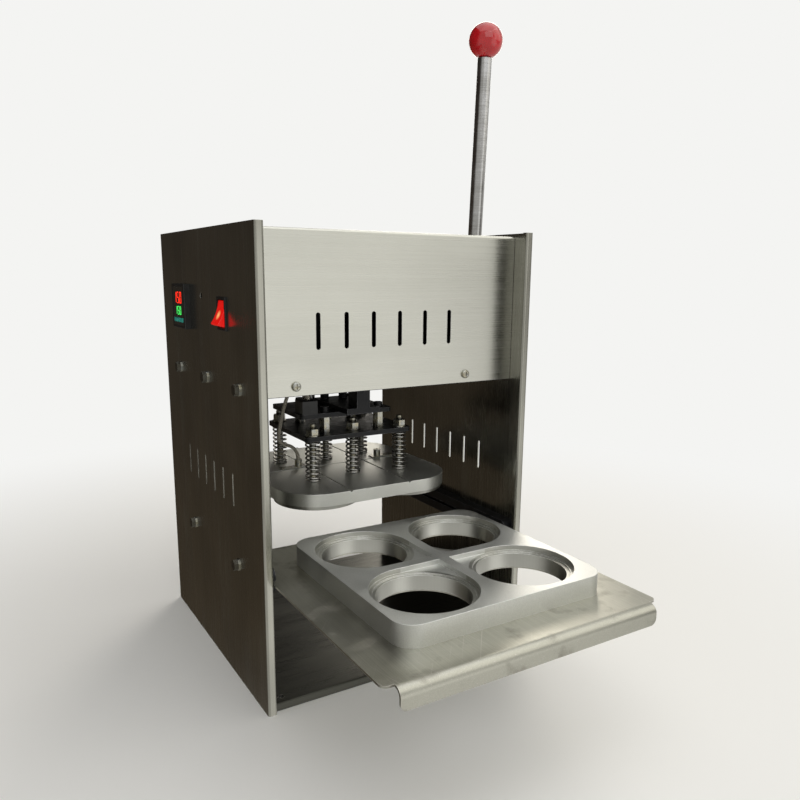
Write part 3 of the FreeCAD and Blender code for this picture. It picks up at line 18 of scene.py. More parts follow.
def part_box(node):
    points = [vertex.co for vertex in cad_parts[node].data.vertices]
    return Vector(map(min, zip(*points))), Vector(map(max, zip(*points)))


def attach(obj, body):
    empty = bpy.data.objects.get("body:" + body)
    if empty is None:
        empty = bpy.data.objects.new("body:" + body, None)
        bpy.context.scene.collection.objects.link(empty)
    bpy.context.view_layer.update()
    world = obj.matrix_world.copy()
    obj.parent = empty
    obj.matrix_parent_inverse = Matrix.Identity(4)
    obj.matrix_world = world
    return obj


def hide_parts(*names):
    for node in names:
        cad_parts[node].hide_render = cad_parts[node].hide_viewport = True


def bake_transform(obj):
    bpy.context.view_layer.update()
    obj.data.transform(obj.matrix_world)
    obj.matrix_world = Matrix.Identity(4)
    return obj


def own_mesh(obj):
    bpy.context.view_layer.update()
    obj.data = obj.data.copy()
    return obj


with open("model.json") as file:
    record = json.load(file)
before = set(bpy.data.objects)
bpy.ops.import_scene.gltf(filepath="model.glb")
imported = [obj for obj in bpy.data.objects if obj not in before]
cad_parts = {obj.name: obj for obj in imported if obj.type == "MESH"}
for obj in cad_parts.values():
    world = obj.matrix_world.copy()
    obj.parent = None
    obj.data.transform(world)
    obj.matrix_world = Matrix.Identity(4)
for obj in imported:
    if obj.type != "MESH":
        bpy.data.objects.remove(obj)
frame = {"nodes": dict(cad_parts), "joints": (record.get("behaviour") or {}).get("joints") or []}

log = logging.getLogger("cup_sealer")
Colour = tuple[float, float, float, float]
MM = 0.001


class Along(Enum):
    """The direction that a grain, a row or an axis runs in."""

    X = Vector((1, 0, 0))
    Y = Vector((0, 1, 0))
    Z = Vector((0, 0, 1))


class Glow(Enum):
    """The colour of a display's digits."""

    RED = "#FF2A10"
    GREEN = "#2CFF6A"


# ---- node and mesh helpers ---------------------------------------------------------------


def linear(hex_colour: str) -> Colour:
    """Turn an sRGB colour into linear light.

    Args:
        hex_colour: Six hex digits after a hash.

    Returns:
        Red, green, blue and an alpha of one.
    """
    parts = [int(hex_colour[i : i + 2], 16) / 255 for i in (1, 3, 5)]
    red, green, blue = [c / 12.92 if c <= 0.04045 else ((c + 0.055) / 1.055) ** 2.4 for c in parts]
    return red, green, blue, 1.0


MATH, RANGE, MIX, NOISE = "ShaderNodeMath", "ShaderNodeMapRange", "ShaderNodeMix", "ShaderNodeTexNoise"
TIMES = {"operation": "MULTIPLY"}
MINUS = {"operation": "SUBTRACT"}
COLOURS = {"data_type": "RGBA", "out": 2}  # with MIX, mixes the colours on its inputs 6 and 7
SOFTLY = {"interpolation_type": "SMOOTHSTEP"}


@dataclass
class Wiring:
    """A node tree, and the one way in which nodes are added to it."""

    tree: bpy.types.NodeTree

    def add(self, kind: str, *inputs: object, out: int | str = 0, **settings: object) -> bpy.types.NodeSocket | None:
        """Add a node with its settings, values and links.

        Args:
            kind: The node's type name.
            inputs: A value or a feeding socket for each input in turn, or one mapping by name or number.
            out: The output that is handed back.
            settings: Properties of the node.

        Returns:
            That output, or None where the node has none.
        """
        node = self.tree.nodes.new(kind)
        for name, value in settings.items():
            setattr(node, name, value)
        given = inputs[0] if inputs and isinstance(inputs[0], dict) else dict(enumerate(inputs))
        for key, value in given.items():
            if isinstance(value, bpy.types.NodeSocket):
                self.tree.links.new(value, node.inputs[key])
            else:
                node.inputs[key].default_value = value
        return node.outputs[out] if node.outputs else None


def new_piece(name: str, mesh: bpy.types.Mesh, finish: "Finish", smooth: bool = True) -> bpy.types.Object:
    """Link a mesh as a piece with one finish.

    Args:
        name: The piece's name.
        mesh: Its mesh, in place.
        finish: What it is dressed in.
        smooth: Whether its faces are shaded smooth.

    Returns:
        The piece, at the origin.
    """
    piece = bpy.data.objects.new(name, mesh)
    bpy.context.scene.collection.objects.link(piece)
    mesh.materials.clear()
    mesh.materials.append(finish.material())
    if smooth:
        mesh.shade_smooth()
        mesh.set_sharp_from_angle(angle=math.radians(35))
    log.info("piece %s: %d faces", name, len(mesh.polygons))
    return piece


def made_plain(piece: bpy.types.Object) -> bpy.types.Object:
    """Turn a piece's modifiers into its own mesh.

    Args:
        piece: A piece with modifiers.

    Returns:
        The same piece with a plain mesh.
    """
    graph = bpy.context.evaluated_depsgraph_get()
    mesh = bpy.data.meshes.new_from_object(piece.evaluated_get(graph), depsgraph=graph)
    piece.modifiers.clear()
    piece.data = mesh
    return piece


def turned(name: str, profile: Sequence[tuple[float, float]], segments: int = 64) -> bpy.types.Mesh:
    """Turn a profile round the Z axis into a closed mesh.

    Args:
        name: The mesh's name.
        profile: Radius and height from the lowest point up, with a radius of zero at both ends.
        segments: Faces round the axis.

    Returns:
        The mesh, its axis on Z.
    """
    work = bmesh.new()
    rings = []
    for radius, height in profile:
        if radius == 0:
            rings.append([work.verts.new((0, 0, height))])
            continue
        turns = [2 * math.pi * i / segments for i in range(segments)]
        rings.append([work.verts.new((radius * math.cos(a), radius * math.sin(a), height)) for a in turns])
    for low, high in zip(rings, rings[1:]):
        for i in range(segments):
            j = (i + 1) % segments
            corners = [low[i % len(low)], low[j % len(low)], high[j % len(high)], high[i % len(high)]]
            work.faces.new(list(dict.fromkeys(corners)))
    mesh = bpy.data.meshes.new(name)
    work.to_mesh(mesh)
    work.free()
    return mesh


def prism(name: str, outline: Sequence[tuple[float, float]], low: float, high: float) -> bpy.types.Mesh:
    """Stand an outline in the X-Z plane up between two heights along Y.

    Args:
        name: The mesh's name.
        outline: X and Z of each corner, in order.
        low: Lower Y.
        high: Upper Y.

    Returns:
        A closed mesh with outward faces.
    """
    work = bmesh.new()
    front = [work.verts.new((x, low, z)) for x, z in outline]
    back = [work.verts.new((x, high, z)) for x, z in outline]
    work.faces.new(front)
    work.faces.new(back[::-1])
    count = len(outline)
    for i in range(count):
        j = (i + 1) % count
        work.faces.new([front[i], back[i], back[j], front[j]])
    bmesh.ops.recalc_face_normals(work, faces=work.faces)
    mesh = bpy.data.meshes.new(name)
    work.to_mesh(mesh)
    work.free()
    return mesh


def rounded(piece: bpy.types.Object, radius: float, segments: int = 3) -> bpy.types.Object:
    """Round a piece's sharp edges.

    Args:
        piece: The piece.
        radius: Radius of the edges.
        segments: Faces across an edge.

    Returns:
        The piece with a plain mesh.
    """
    bevel = piece.modifiers.new("edges", "BEVEL")
    bevel.width = radius
    bevel.segments = segments
    bevel.limit_method = "ANGLE"
    bevel.angle_limit = math.radians(30)
    return made_plain(piece)


def smooth_path(points: Sequence[tuple[float, float, float]]) -> list[Vector]:
    """Draw one smooth line through a route.

    Args:
        points: The route's control points.

    Returns:
        Points along a NURBS spline, from end to end.
    """
    curve = bpy.data.curves.new("route", "CURVE")
    curve.dimensions = "3D"
    curve.resolution_u = 12
    spline = curve.splines.new("NURBS")
    spline.points.add(len(points) - 1)
    for point, place in zip(spline.points, points):
        point.co = (*place, 1)
    spline.order_u = 3
    spline.use_endpoint_u = True
    holder = bpy.data.objects.new("route", curve)
    bpy.context.scene.collection.objects.link(holder)
    graph = bpy.context.evaluated_depsgraph_get()
    line = bpy.data.meshes.new_from_object(holder.evaluated_get(graph), depsgraph=graph)
    places = [v.co.copy() for v in line.vertices]
    bpy.data.objects.remove(holder)
    return places


def tube(name: str, path: Sequence[Vector], radius: float, segments: int = 20) -> bpy.types.Mesh:
    """Wrap a closed tube round a path, with a UV map in turns and metres.

    Args:
        name: The mesh's name.
        path: Points along its middle.
        radius: Its radius.
        segments: Faces round it.

    Returns:
        The mesh.
    """
    work = bmesh.new()
    layer = work.loops.layers.uv.new("wrap")
    side = (path[1] - path[0]).orthogonal().normalized()
    rings, run, length = [], [], 0.0
    for i, point in enumerate(path):
        ahead = path[min(i + 1, len(path) - 1)] - path[max(i - 1, 0)]
        ahead.normalize()
        side = (side - ahead * side.dot(ahead)).normalized()
        other = ahead.cross(side)
        if i:
            length += (point - path[i - 1]).length
        run.append(length)
        turns = [2 * math.pi * k / segments for k in range(segments)]
        rings.append([work.verts.new(point + (side * math.cos(a) + other * math.sin(a)) * radius) for a in turns])
    for i in range(len(rings) - 1):
        for k in range(segments):
            j = (k + 1) % segments
            face = work.faces.new([rings[i][k], rings[i][j], rings[i + 1][j], rings[i + 1][k]])
            spots = [(k, i), (k + 1, i), (k + 1, i + 1), (k, i + 1)]
            for loop, (around, along) in zip(face.loops, spots):
                loop[layer].uv = (around / segments, run[along])
    work.faces.new(rings[0][::-1])
    work.faces.new(rings[-1])
    mesh = bpy.data.meshes.new(name)
    work.to_mesh(mesh)
    work.free()
    return mesh


# ---- finishes ----------------------------------------------------------------------------


@dataclass
class Surface(Wiring):
    """A material in the making: its shader, object coordinates and the normal with rounded edges."""

    shader: bpy.types.Node
    place: bpy.types.NodeSocket
    edge: bpy.types.NodeSocket

    def grit(self, size_mm: float, detail: float = 2.0) -> bpy.types.NodeSocket:
        """Give an even speckle.

        Args:
            size_mm: Size of a speck.
            detail: Finer layers.

        Returns:
            The speckle, about 0.3 to 0.7.
        """
        return self.add(NOISE, {"Vector": self.place, "Scale": 1 / (size_mm * MM), "Detail": detail,
                                "Roughness": 0.55})

    def lines(self, along: Along, width_mm: float, length_mm: float, angle: float = 0.0
              ) -> bpy.types.NodeSocket:
        """Give long thin lines, as brushing, rolling or a drag leaves them.

        Args:
            along: The direction of the lines.
            width_mm: Their width.
            length_mm: Their length.
            angle: Their turn about Z, in radians.

        Returns:
            The line pattern, about 0.3 to 0.7.
        """
        across, run = 1 / (width_mm * MM), 1 / (length_mm * MM)
        scale = [run if part else across for part in along.value]
        swung = self.add("ShaderNodeMapping", {"Vector": self.place, "Rotation": (0, 0, angle)})
        laid = self.add("ShaderNodeMapping", {"Vector": swung, "Scale": scale})
        return self.add(NOISE, {"Vector": laid, "Scale": 1.0, "Detail": 3.0})

    def worn_edges_and_painted_highlight(self, reach_mm: float) -> bpy.types.NodeSocket:
        """Find the edges of a part that are painted lighter: rubbed wear and a painted highlight along the edge.

        Args:
            reach_mm: How far the wear reaches from an edge.

        Returns:
            One on a worn edge that also takes the painted highlight, zero elsewhere.
        """
        wide = self.add("ShaderNodeBevel", {"Radius": reach_mm * MM}, samples=6)
        flat = self.add("ShaderNodeNewGeometry", out="Normal")
        turn = self.add("ShaderNodeVectorMath", wide, flat, operation="DOT_PRODUCT", out="Value")
        edge = self.add(RANGE, turn, 0.9, 0.99, 1.0, 0.0)
        patchy = self.add(RANGE, self.grit(6.0, 4.0), 0.35, 0.6, 0.2, 1.0)
        return self.add(MATH, edge, patchy, **TIMES)

    def dress(self, colour: bpy.types.NodeSocket, roughness: bpy.types.NodeSocket, height: bpy.types.NodeSocket,
              depth_mm: float, strength: float) -> None:
        """Feed the shader.

        Args:
            colour: Its colour.
            roughness: Its roughness.
            height: The pattern that stands up from the surface.
            depth_mm: How far it stands up.
            strength: How much of it shows.
        """
        raised = self.add("ShaderNodeBump", {"Height": height, "Distance": depth_mm * MM, "Strength": strength,
                                             "Normal": self.edge})
        for name, socket in (("Base Color", colour), ("Roughness", roughness), ("Normal", raised)):
            self.tree.links.new(socket, self.shader.inputs[name])


@dataclass(frozen=True)
class Finish:
    """What every finish shares: a name, a base and one material made when it is first asked for."""

    name: str
    colour: str
    metallic: float = 0.0
    roughness: float = 0.5
    edge_mm: float = 0.3

    def material(self) -> bpy.types.Material:
        """Give the finish's one material, made the first time.

        Returns:
            The material.
        """
        found = bpy.data.materials.get(self.name)
        if found:
            return found
        material = bpy.data.materials.new(self.name)
        material.use_nodes = True
        nodes = Wiring(material.node_tree)
        nodes.tree.nodes.clear()
        lit = nodes.add("ShaderNodeBsdfPrincipled", {"Base Color": linear(self.colour), "Metallic": self.metallic,
                                                     "Roughness": self.roughness})
        nodes.add("ShaderNodeOutputMaterial", {"Surface": lit})
        place = nodes.add("ShaderNodeTexCoord", out="Object")
        # a sharp edge of a real part has a small radius, which catches a line of light
        edge = nodes.add("ShaderNodeBevel", {"Radius": self.edge_mm * MM}, samples=6)
        self.paint(Surface(nodes.tree, lit.node, place, edge))
        return material

    def paint(self, on: Surface) -> None:
        """Draw the finish's own patterns.

        Args:
            on: The surface they go on.
        """
        raise NotImplementedError


@dataclass(frozen=True)
class BrushedSheet(Finish):
    """Stainless sheet, belt-brushed: fine lines one way, cloudy handling marks and cut edges painted bright, as wear
    and as a painted highlight.
    """

    dark: str = "#8C8984"
    along: Along = Along.X
    line_mm: float = 0.7  # coarser than a real 0.1 mm line, so that it shows
    run_mm: float = 70.0
    cloud_mm: float = 110.0
    cloudy: float = 0.35
    smudge: float = 0.12
    depth: float = 0.3
    mark: str = "#D9DBD2"
    marked: float = 0.0

    def paint(self, on: Surface) -> None:
        """Draw brushing, clouds and smudges.

        Args:
            on: The surface they go on.
        """
        fine = on.lines(self.along, self.line_mm, self.run_mm)
        broad = on.lines(self.along, self.line_mm * 9, self.run_mm * 5)
        cloud = on.grit(self.cloud_mm, 3.0)
        smear = on.add(RANGE, on.lines(self.along, 30.0, 190.0), 0.48, 0.74, 0.0, 1.0)
        tone = on.add(MATH, on.add(RANGE, fine, 0.3, 0.7, 0.0, 0.5), on.add(RANGE, broad, 0.3, 0.7, 0.0, 0.15))
        tone = on.add(MATH, tone, on.add(RANGE, cloud, 0.3, 0.7, 0.0, self.cloudy))
        tinted = on.add(MIX, {0: tone, 6: linear(self.dark), 7: linear(self.colour)}, **COLOURS)
        # pale dry wipes left by a cloth
        wiped = on.add(MATH, smear, self.marked, **TIMES)
        tinted = on.add(MIX, {0: wiped, 6: tinted, 7: linear(self.mark)}, **COLOURS)
        # edges painted lighter: rubbed wear and a painted highlight
        colour = on.add(MIX, {0: on.worn_edges_and_painted_highlight(0.8), 6: tinted, 7: linear("#E4E2DE")}, **COLOURS)
        spread = on.add(RANGE, fine, 0.3, 0.7, self.roughness - 0.07, self.roughness + 0.07)
        hazed = on.add(MATH, spread, on.add(MATH, smear, self.smudge, **TIMES))
        on.dress(colour, hazed, fine, 0.012, self.depth)


@dataclass(frozen=True)
class HandledSheet(BrushedSheet):
    """Mill-finish steel sheet in daily use: drag scratches, dried spots and dull patches."""

    def paint(self, on: Surface) -> None:
        """Draw rolling lines, scratches and stains.

        Args:
            on: The surface they go on.
        """
        rolled = on.lines(self.along, self.line_mm, self.run_mm)
        cloud = on.grit(self.cloud_mm, 6.0)
        stain = on.add(RANGE, on.grit(26.0, 8.0), 0.55, 0.68, 0.0, 1.0)
        tone = on.add(MATH, on.add(RANGE, rolled, 0.3, 0.7, 0.0, 0.4), on.add(RANGE, cloud, 0.3, 0.7, 0.0, 0.6))
        tinted = on.add(MIX, {0: tone, 6: linear(self.dark), 7: linear(self.colour)}, **COLOURS)
        stained = on.add(MATH, stain, 0.35, **TIMES)
        tinted = on.add(MIX, {0: stained, 6: tinted, 7: linear("#6E665C")}, **COLOURS)
        drags = [on.add(RANGE, on.lines(Along.X, 0.9, 120.0, angle), 0.66, 0.72, 0.0, 1.0)
                 for angle in (0.35, -0.9, 1.35)]
        scratch = drags[0]
        for drag in drags[1:]:
            scratch = on.add(MATH, scratch, drag, operation="MAXIMUM")
        tinted = on.add(MIX, {0: scratch, 6: tinted, 7: linear("#C9C6C0")}, **COLOURS)
        # edges painted lighter: rubbed wear and a painted highlight
        colour = on.add(MIX, {0: on.worn_edges_and_painted_highlight(0.9), 6: tinted, 7: linear("#DDDAD4")}, **COLOURS)
        spread = on.add(RANGE, cloud, 0.3, 0.7, self.roughness - 0.1, self.roughness + 0.1)
        rough = on.add(MATH, spread, on.add(MATH, stain, 0.16, **TIMES))
        on.dress(colour, rough, on.add(MATH, rolled, on.add(MATH, scratch, -0.6, **TIMES)), 0.02, 0.5)


@dataclass(frozen=True)
class BlastedAluminium(Finish):
    """Aluminium plate, bead-blasted to an even sparkle, with turned rings where it was machined after."""

    centre: tuple[float, float] = (0.0, 0.0)
    half_pitch: float = 0.054
    machined_radius: float = 0.0486
    machined_below: float = -1.0
    bright: str = "#CDCDC7"
    feed_mm: float = 0.8  # coarser than the tool's real 0.25 mm, so that it shows

    def paint(self, on: Surface) -> None:
        """Draw blasting, edges painted bright as wear and as a painted highlight, and turned rings.

        Args:
            on: The surface they go on.
        """
        speck = on.grit(0.8, 3.0)  # a 0.2 mm bead mark, drawn coarser
        cloud = on.grit(45.0, 4.0)
        tone = on.add(MATH, on.add(RANGE, speck, 0.3, 0.7, 0.0, 0.6), on.add(RANGE, cloud, 0.3, 0.7, 0.0, 0.4))
        dull = tuple(c * 0.8 for c in linear(self.colour)[:3]) + (1.0,)
        blasted = on.add(MIX, {0: tone, 6: dull, 7: linear(self.colour)}, **COLOURS)
        split = on.add("ShaderNodeSeparateXYZ", on.place).node.outputs
        offsets = []
        for socket, middle in zip(split[:2], self.centre):
            away = on.add(MATH, on.add(MATH, socket, -middle), operation="ABSOLUTE")
            offsets.append(on.add(MATH, away, -self.half_pitch))
        flat = on.add("ShaderNodeCombineXYZ", *offsets)
        radius = on.add("ShaderNodeVectorMath", flat, operation="LENGTH", out="Value")
        inside = on.add(MATH, radius, self.machined_radius + 0.0002, operation="LESS_THAN")
        below = on.add(MATH, split[2], self.machined_below, operation="LESS_THAN")
        machined = on.add(MATH, inside, below, **TIMES)
        ring = on.add(MATH, on.add(MATH, radius, 2 * math.pi / (self.feed_mm * MM), **TIMES), operation="SINE")
        feed = on.add(RANGE, ring, -1.0, 1.0, 0.55, 1.0)
        cut = on.add(MIX, {0: feed, 6: linear("#A2A29C"), 7: linear(self.bright)}, **COLOURS)
        coloured = on.add(MIX, {0: machined, 6: blasted, 7: cut}, **COLOURS)
        # edges painted near white: rubbed wear and a painted highlight
        colour = on.add(MIX, {0: on.worn_edges_and_painted_highlight(0.9), 6: coloured, 7: linear("#F4F4F4")}, **COLOURS)
        rough = on.add(MATH, on.add(RANGE, machined, 0.0, 1.0, self.roughness, 0.36),
                       on.add(RANGE, cloud, 0.3, 0.7, -0.05, 0.06))
        rings = on.add(MATH, on.add(MATH, ring, machined, **TIMES), 0.35, **TIMES)
        on.dress(colour, rough, on.add(MATH, speck, rings), 0.03, 0.5)


@dataclass(frozen=True)
class BlackOxide(Finish):
    """Steel plate blackened in a hot salt bath: a thin dark skin, rubbed to steel along its edges."""

    def paint(self, on: Surface) -> None:
        """Draw mottling and rubbed edges.

        Args:
            on: The surface they go on.
        """
        mottle = on.grit(9.0, 5.0)
        tone = on.add(RANGE, mottle, 0.35, 0.65, 0.0, 1.0)
        skin = on.add(MIX, {0: tone, 6: linear(self.colour), 7: linear("#222326")}, **COLOURS)
        colour = on.add(MIX, {0: on.worn_edges_and_painted_highlight(0.7), 6: skin, 7: linear("#77767A")}, **COLOURS)
        rough = on.add(RANGE, mottle, 0.3, 0.7, self.roughness - 0.1, self.roughness + 0.12)
        on.dress(colour, rough, on.grit(0.6, 2.0), 0.02, 0.5)


@dataclass(frozen=True)
class PlatedSteel(Finish):
    """Zinc-plated steel: a cool bright coat with faint yellow and blue passivation."""

    warm: str = "#AFA994"

    def paint(self, on: Surface) -> None:
        """Draw passivation and handling dullness.

        Args:
            on: The surface they go on.
        """
        tint = on.add(RANGE, on.grit(5.0, 3.0), 0.35, 0.65, 0.0, 1.0)
        dull = on.grit(1.6, 3.0)
        colour = on.add(MIX, {0: tint, 6: linear(self.colour), 7: linear(self.warm)}, **COLOURS)
        rough = on.add(RANGE, dull, 0.3, 0.7, self.roughness - 0.08, self.roughness + 0.14)
        on.dress(colour, rough, dull, 0.015, 0.4)


@dataclass(frozen=True)
class GroundSteel(Finish):
    """Centreless-ground round bar: fine rings round it and long, soft reflections."""

    along: Along = Along.Z

    def paint(self, on: Surface) -> None:
        """Draw grinding rings and faint wear.

        Args:
            on: The surface they go on.
        """
        fine, long = 1 / (0.5 * MM), 1 / (30 * MM)
        scale = [fine if part else long for part in self.along.value]
        laid = on.add("ShaderNodeMapping", {"Vector": on.place, "Scale": scale})
        ring = on.add(NOISE, {"Vector": laid, "Scale": 1.0, "Detail": 2.0})
        haze = on.grit(22.0, 4.0)
        tone = on.add(RANGE, on.add(MATH, ring, haze), 0.7, 1.3, 0.0, 1.0)
        colour = on.add(MIX, {0: tone, 6: linear("#A3A2A0"), 7: linear(self.colour)}, **COLOURS)
        rough = on.add(RANGE, haze, 0.3, 0.7, self.roughness - 0.05, self.roughness + 0.1)
        on.dress(colour, rough, ring, 0.006, 0.4)


@dataclass(frozen=True)
class MouldedPlastic(Finish):
    """Injection-moulded plastic with a spark-eroded grain from its tool."""

    grain_mm: float = 0.7
    lighter: str = "#2A2B2E"
    coat: float = 0.0

    def paint(self, on: Surface) -> None:
        """Draw the tool's grain and faint handling shine.

        Args:
            on: The surface they go on.
        """
        touch = on.grit(14.0, 4.0)
        tone = on.add(RANGE, touch, 0.35, 0.7, 0.0, 1.0)
        colour = on.add(MIX, {0: tone, 6: linear(self.colour), 7: linear(self.lighter)}, **COLOURS)
        rough = on.add(RANGE, touch, 0.3, 0.7, self.roughness - 0.08, self.roughness + 0.08)
        on.shader.inputs["Coat Weight"].default_value = self.coat
        on.shader.inputs["Coat Roughness"].default_value = 0.06
        on.dress(colour, rough, on.grit(self.grain_mm, 3.0), 0.02, 0.5)


@dataclass(frozen=True)
class LitPlastic(Finish):
    """Clear-tinted polycarbonate with a lamp behind it: hottest over the lamp, deep at the rims."""

    centre: tuple[float, float, float] = (0.0, 0.0, 0.0)
    reach: float = 0.012
    hot: str = "#FF7A4A"
    strength: float = 2.5

    def paint(self, on: Surface) -> None:
        """Draw the lamp's glow and fine scuffs.

        Args:
            on: The surface they go on.
        """
        away = on.add("ShaderNodeVectorMath", on.place, self.centre, operation="DISTANCE", out="Value")
        near = on.add(RANGE, away, 0.0, self.reach, 1.0, 0.0)
        scuff = on.grit(3.0, 4.0)
        glow = on.add(MIX, {0: near, 6: linear(self.colour), 7: linear(self.hot)}, **COLOURS)
        on.tree.links.new(glow, on.shader.inputs["Emission Color"])
        on.shader.inputs["Emission Strength"].default_value = self.strength
        colour = on.add(MIX, {0: scuff, 6: linear(self.colour), 7: linear("#8E0A06")}, **COLOURS)
        rough = on.add(RANGE, scuff, 0.3, 0.7, self.roughness - 0.05, self.roughness + 0.15)
        on.dress(colour, rough, scuff, 0.01, 0.3)


@dataclass(frozen=True)
class WovenSleeve(Finish):
    """Braided glass sleeving on a lead: crossing yarns with dark gaps, read on its own wrap."""

    yarn_mm: float = 1.3
    yarns: int = 6

    def paint(self, on: Surface) -> None:
        """Draw the braid.

        Args:
            on: The surface it goes on.
        """
        wrap = on.add("ShaderNodeSeparateXYZ", on.add("ShaderNodeUVMap", uv_map="wrap")).node.outputs
        around = on.add(MATH, wrap[0], self.yarns * 2 * math.pi, **TIMES)
        along = on.add(MATH, wrap[1], 2 * math.pi / (2 * self.yarn_mm * MM), **TIMES)
        one = on.add(MATH, on.add(MATH, around, along), operation="SINE")
        other = on.add(MATH, on.add(MATH, around, along, **MINUS), operation="SINE")
        tone = on.add(RANGE, on.add(MATH, one, other, operation="MAXIMUM"), 0.0, 1.0, 0.0, 1.0)
        colour = on.add(MIX, {0: tone, 6: linear("#6B6354"), 7: linear(self.colour)}, **COLOURS)
        on.dress(colour, on.add(RANGE, tone, 0.0, 1.0, 0.9, 0.65), tone, 0.12, 0.8)


MOULD_LOW, MOULD_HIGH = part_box("mould_plate")
HEATER_LOW, HEATER_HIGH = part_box("heating_plate")
ROCKER_LOW, ROCKER_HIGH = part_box("rocker")
SWITCH_LOW, SWITCH_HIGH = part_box("switch_housing")
MOULD_CENTRE = ((MOULD_LOW.x + MOULD_HIGH.x) / 2, (MOULD_LOW.y + MOULD_HIGH.y) / 2)
HEATER_CENTRE = ((HEATER_LOW.x + HEATER_HIGH.x) / 2, (HEATER_LOW.y + HEATER_HIGH.y) / 2)

SATIN_STAINLESS = BrushedSheet("satin_stainless_sheet", "#B3B2A9", 1.0, 0.22, dark="#83827B", along=Along.Z,
                               line_mm=0.4, run_mm=90.0, cloudy=0.6, smudge=0.16, depth=0.14, marked=0.08)
# the base pan, its stiffener and the rear cover: stainless painted dark, a painted shade standing in for the dark
# reflection of the drawer's shaded underside over the bay floor
SHADED_FLOOR_STAINLESS = BrushedSheet("floor_stainless_sheet_painted_shade", "#55554F", 1.0, 0.3, dark="#43433E", along=Along.X,
                               depth=0.2)
COVER_STAINLESS = BrushedSheet("long_grain_stainless_sheet", "#D4D4CD", 1.0, 0.31, dark="#C2C2BA", along=Along.X,
                               line_mm=0.4, run_mm=110.0, smudge=0.05, depth=0.22)
DRAWER_STEEL = HandledSheet("mill_finish_steel_sheet", "#C8C7BC", 1.0, 0.36, dark="#A3A298", along=Along.Y)
MOULD_ALUMINIUM = BlastedAluminium("bead_blasted_aluminium_mould", "#E4E5E2", 1.0, 0.45, edge_mm=0.7,
                                   centre=MOULD_CENTRE, machined_below=MOULD_HIGH.z - 0.0003)
PLATE_ALUMINIUM = BlastedAluminium("milled_aluminium_heating_plate", "#E2E3DE", 1.0, 0.42, edge_mm=0.7,
                                   centre=HEATER_CENTRE, machined_below=-1.0)
DISC_ALUMINIUM = BlastedAluminium("turned_aluminium_discs", "#CFCFD1", 1.0, 0.34, centre=HEATER_CENTRE,
                                  machined_below=1.0)
BLACK_STEEL = BlackOxide("black_oxide_steel", "#0C0C0E", 0.4, 0.42)
ZINC_STEEL = PlatedSteel("zinc_plated_steel", "#A9ABAA", 1.0, 0.27)
BOLT_STEEL = PlatedSteel("dulled_bolt_steel", "#74736D", 1.0, 0.34, warm="#67635A")
BRONZE = PlatedSteel("sintered_bronze", "#B58A52", 1.0, 0.42, warm="#8F6436")
BAR_STEEL = GroundSteel("ground_bar_upright", "#CBCBCD", 1.0, 0.2)
SHAFT_STEEL = GroundSteel("ground_bar_level", "#C6C6C8", 1.0, 0.24, along=Along.X)
SPRING_STEEL = GroundSteel("drawn_spring_wire", "#C9C6C2", 1.0, 0.26)
BLACK_PLASTIC = MouldedPlastic("moulded_abs_housing", "#0A0A0B", 0.0, 0.4, lighter="#151617")
WINDOW = MouldedPlastic("smoked_acrylic_window", "#050607", 0.0, 0.12, grain_mm=2.5, lighter="#0C0E10", coat=0.4)
KEY_SILICONE = MouldedPlastic("moulded_key_caps", "#1E8E82", 0.0, 0.4, lighter="#2BA698")
RED_BALL = MouldedPlastic("polished_phenolic_ball", "#A80D14", 0.0, 0.16, grain_mm=4.0, lighter="#BE1620", coat=0.7)
ROCKER_RED = LitPlastic("lit_polycarbonate_rocker", "#B90804", 0.0, 0.2, reach=0.0055, hot="#FFD080", strength=1.0,
                        centre=(ROCKER_LOW.x + 0.006, (SWITCH_LOW.y + SWITCH_HIGH.y) / 2, ROCKER_LOW.z + 0.011))
RED_DIGITS = LitPlastic("red_display_segments", Glow.RED.value, 0.0, 0.4, hot="#FF4A2A", reach=0.05, strength=1.5)
GREEN_DIGITS = LitPlastic("green_display_segments", Glow.GREEN.value, 0.0, 0.4, hot="#5CFF8A", reach=0.05,
                          strength=1.1)
SLEEVE = WovenSleeve("braided_glass_sleeving", "#DAD4C6", 0.0, 0.8)

CAD_FINISHES: dict[Finish, tuple[str, ...]] = {
    SATIN_STAINLESS: ("left_panel", "right_panel"),
    SHADED_FLOOR_STAINLESS: ("base_pan", "base_stiffener", "rear_cover"),
    COVER_STAINLESS: ("front_cover",),
    DRAWER_STEEL: ("drawer_plate",),
    MOULD_ALUMINIUM: ("mould_plate",),
    PLATE_ALUMINIUM: ("heating_plate",),
    DISC_ALUMINIUM: ("sealing_discs",),
    BLACK_STEEL: ("cross_frame", "bearing_block_left", "bearing_block_right", "left_rail", "right_rail",
                  "press_plate", "upper_plate", "yoke", "head_screws", "crank_arm_left", "crank_arm_right"),
    BOLT_STEEL: ("panel_bolts",),
    ZINC_STEEL: ("block_screws", "bolt_washers", "frame_nuts", "cover_screws", "mould_screws",
                 "disc_screws", "cartridge_heaters", "thermocouple", "lead_terminals", "stud_nuts", "rod_collars",
                 "standoffs", "shaft_collar"),
    BRONZE: ("guide_bushes", "shaft_bushes", "panel_bush"),
    BAR_STEEL: ("guide_rods",),
    SHAFT_STEEL: ("crank_pin", "lever_shaft", "lever_hub"),
    BLACK_PLASTIC: ("cable_gland", "controller_housing", "controller_clip", "switch_housing", "terminal_block"),
    WINDOW: ("controller_face",),
    KEY_SILICONE: ("key_1", "key_2", "key_3", "key_4"),
}


def dress_frame() -> None:
    """Give every frame node that stays in sight its finish."""
    for finish, names in CAD_FINISHES.items():
        for name in names:
            mesh = frame["nodes"][name].data
            mesh.materials.clear()
            mesh.materials.append(finish.material())
        log.info("finish %s: %s", finish.name, ", ".join(names))


# ---- geometry trees ----------------------------------------------------------------------

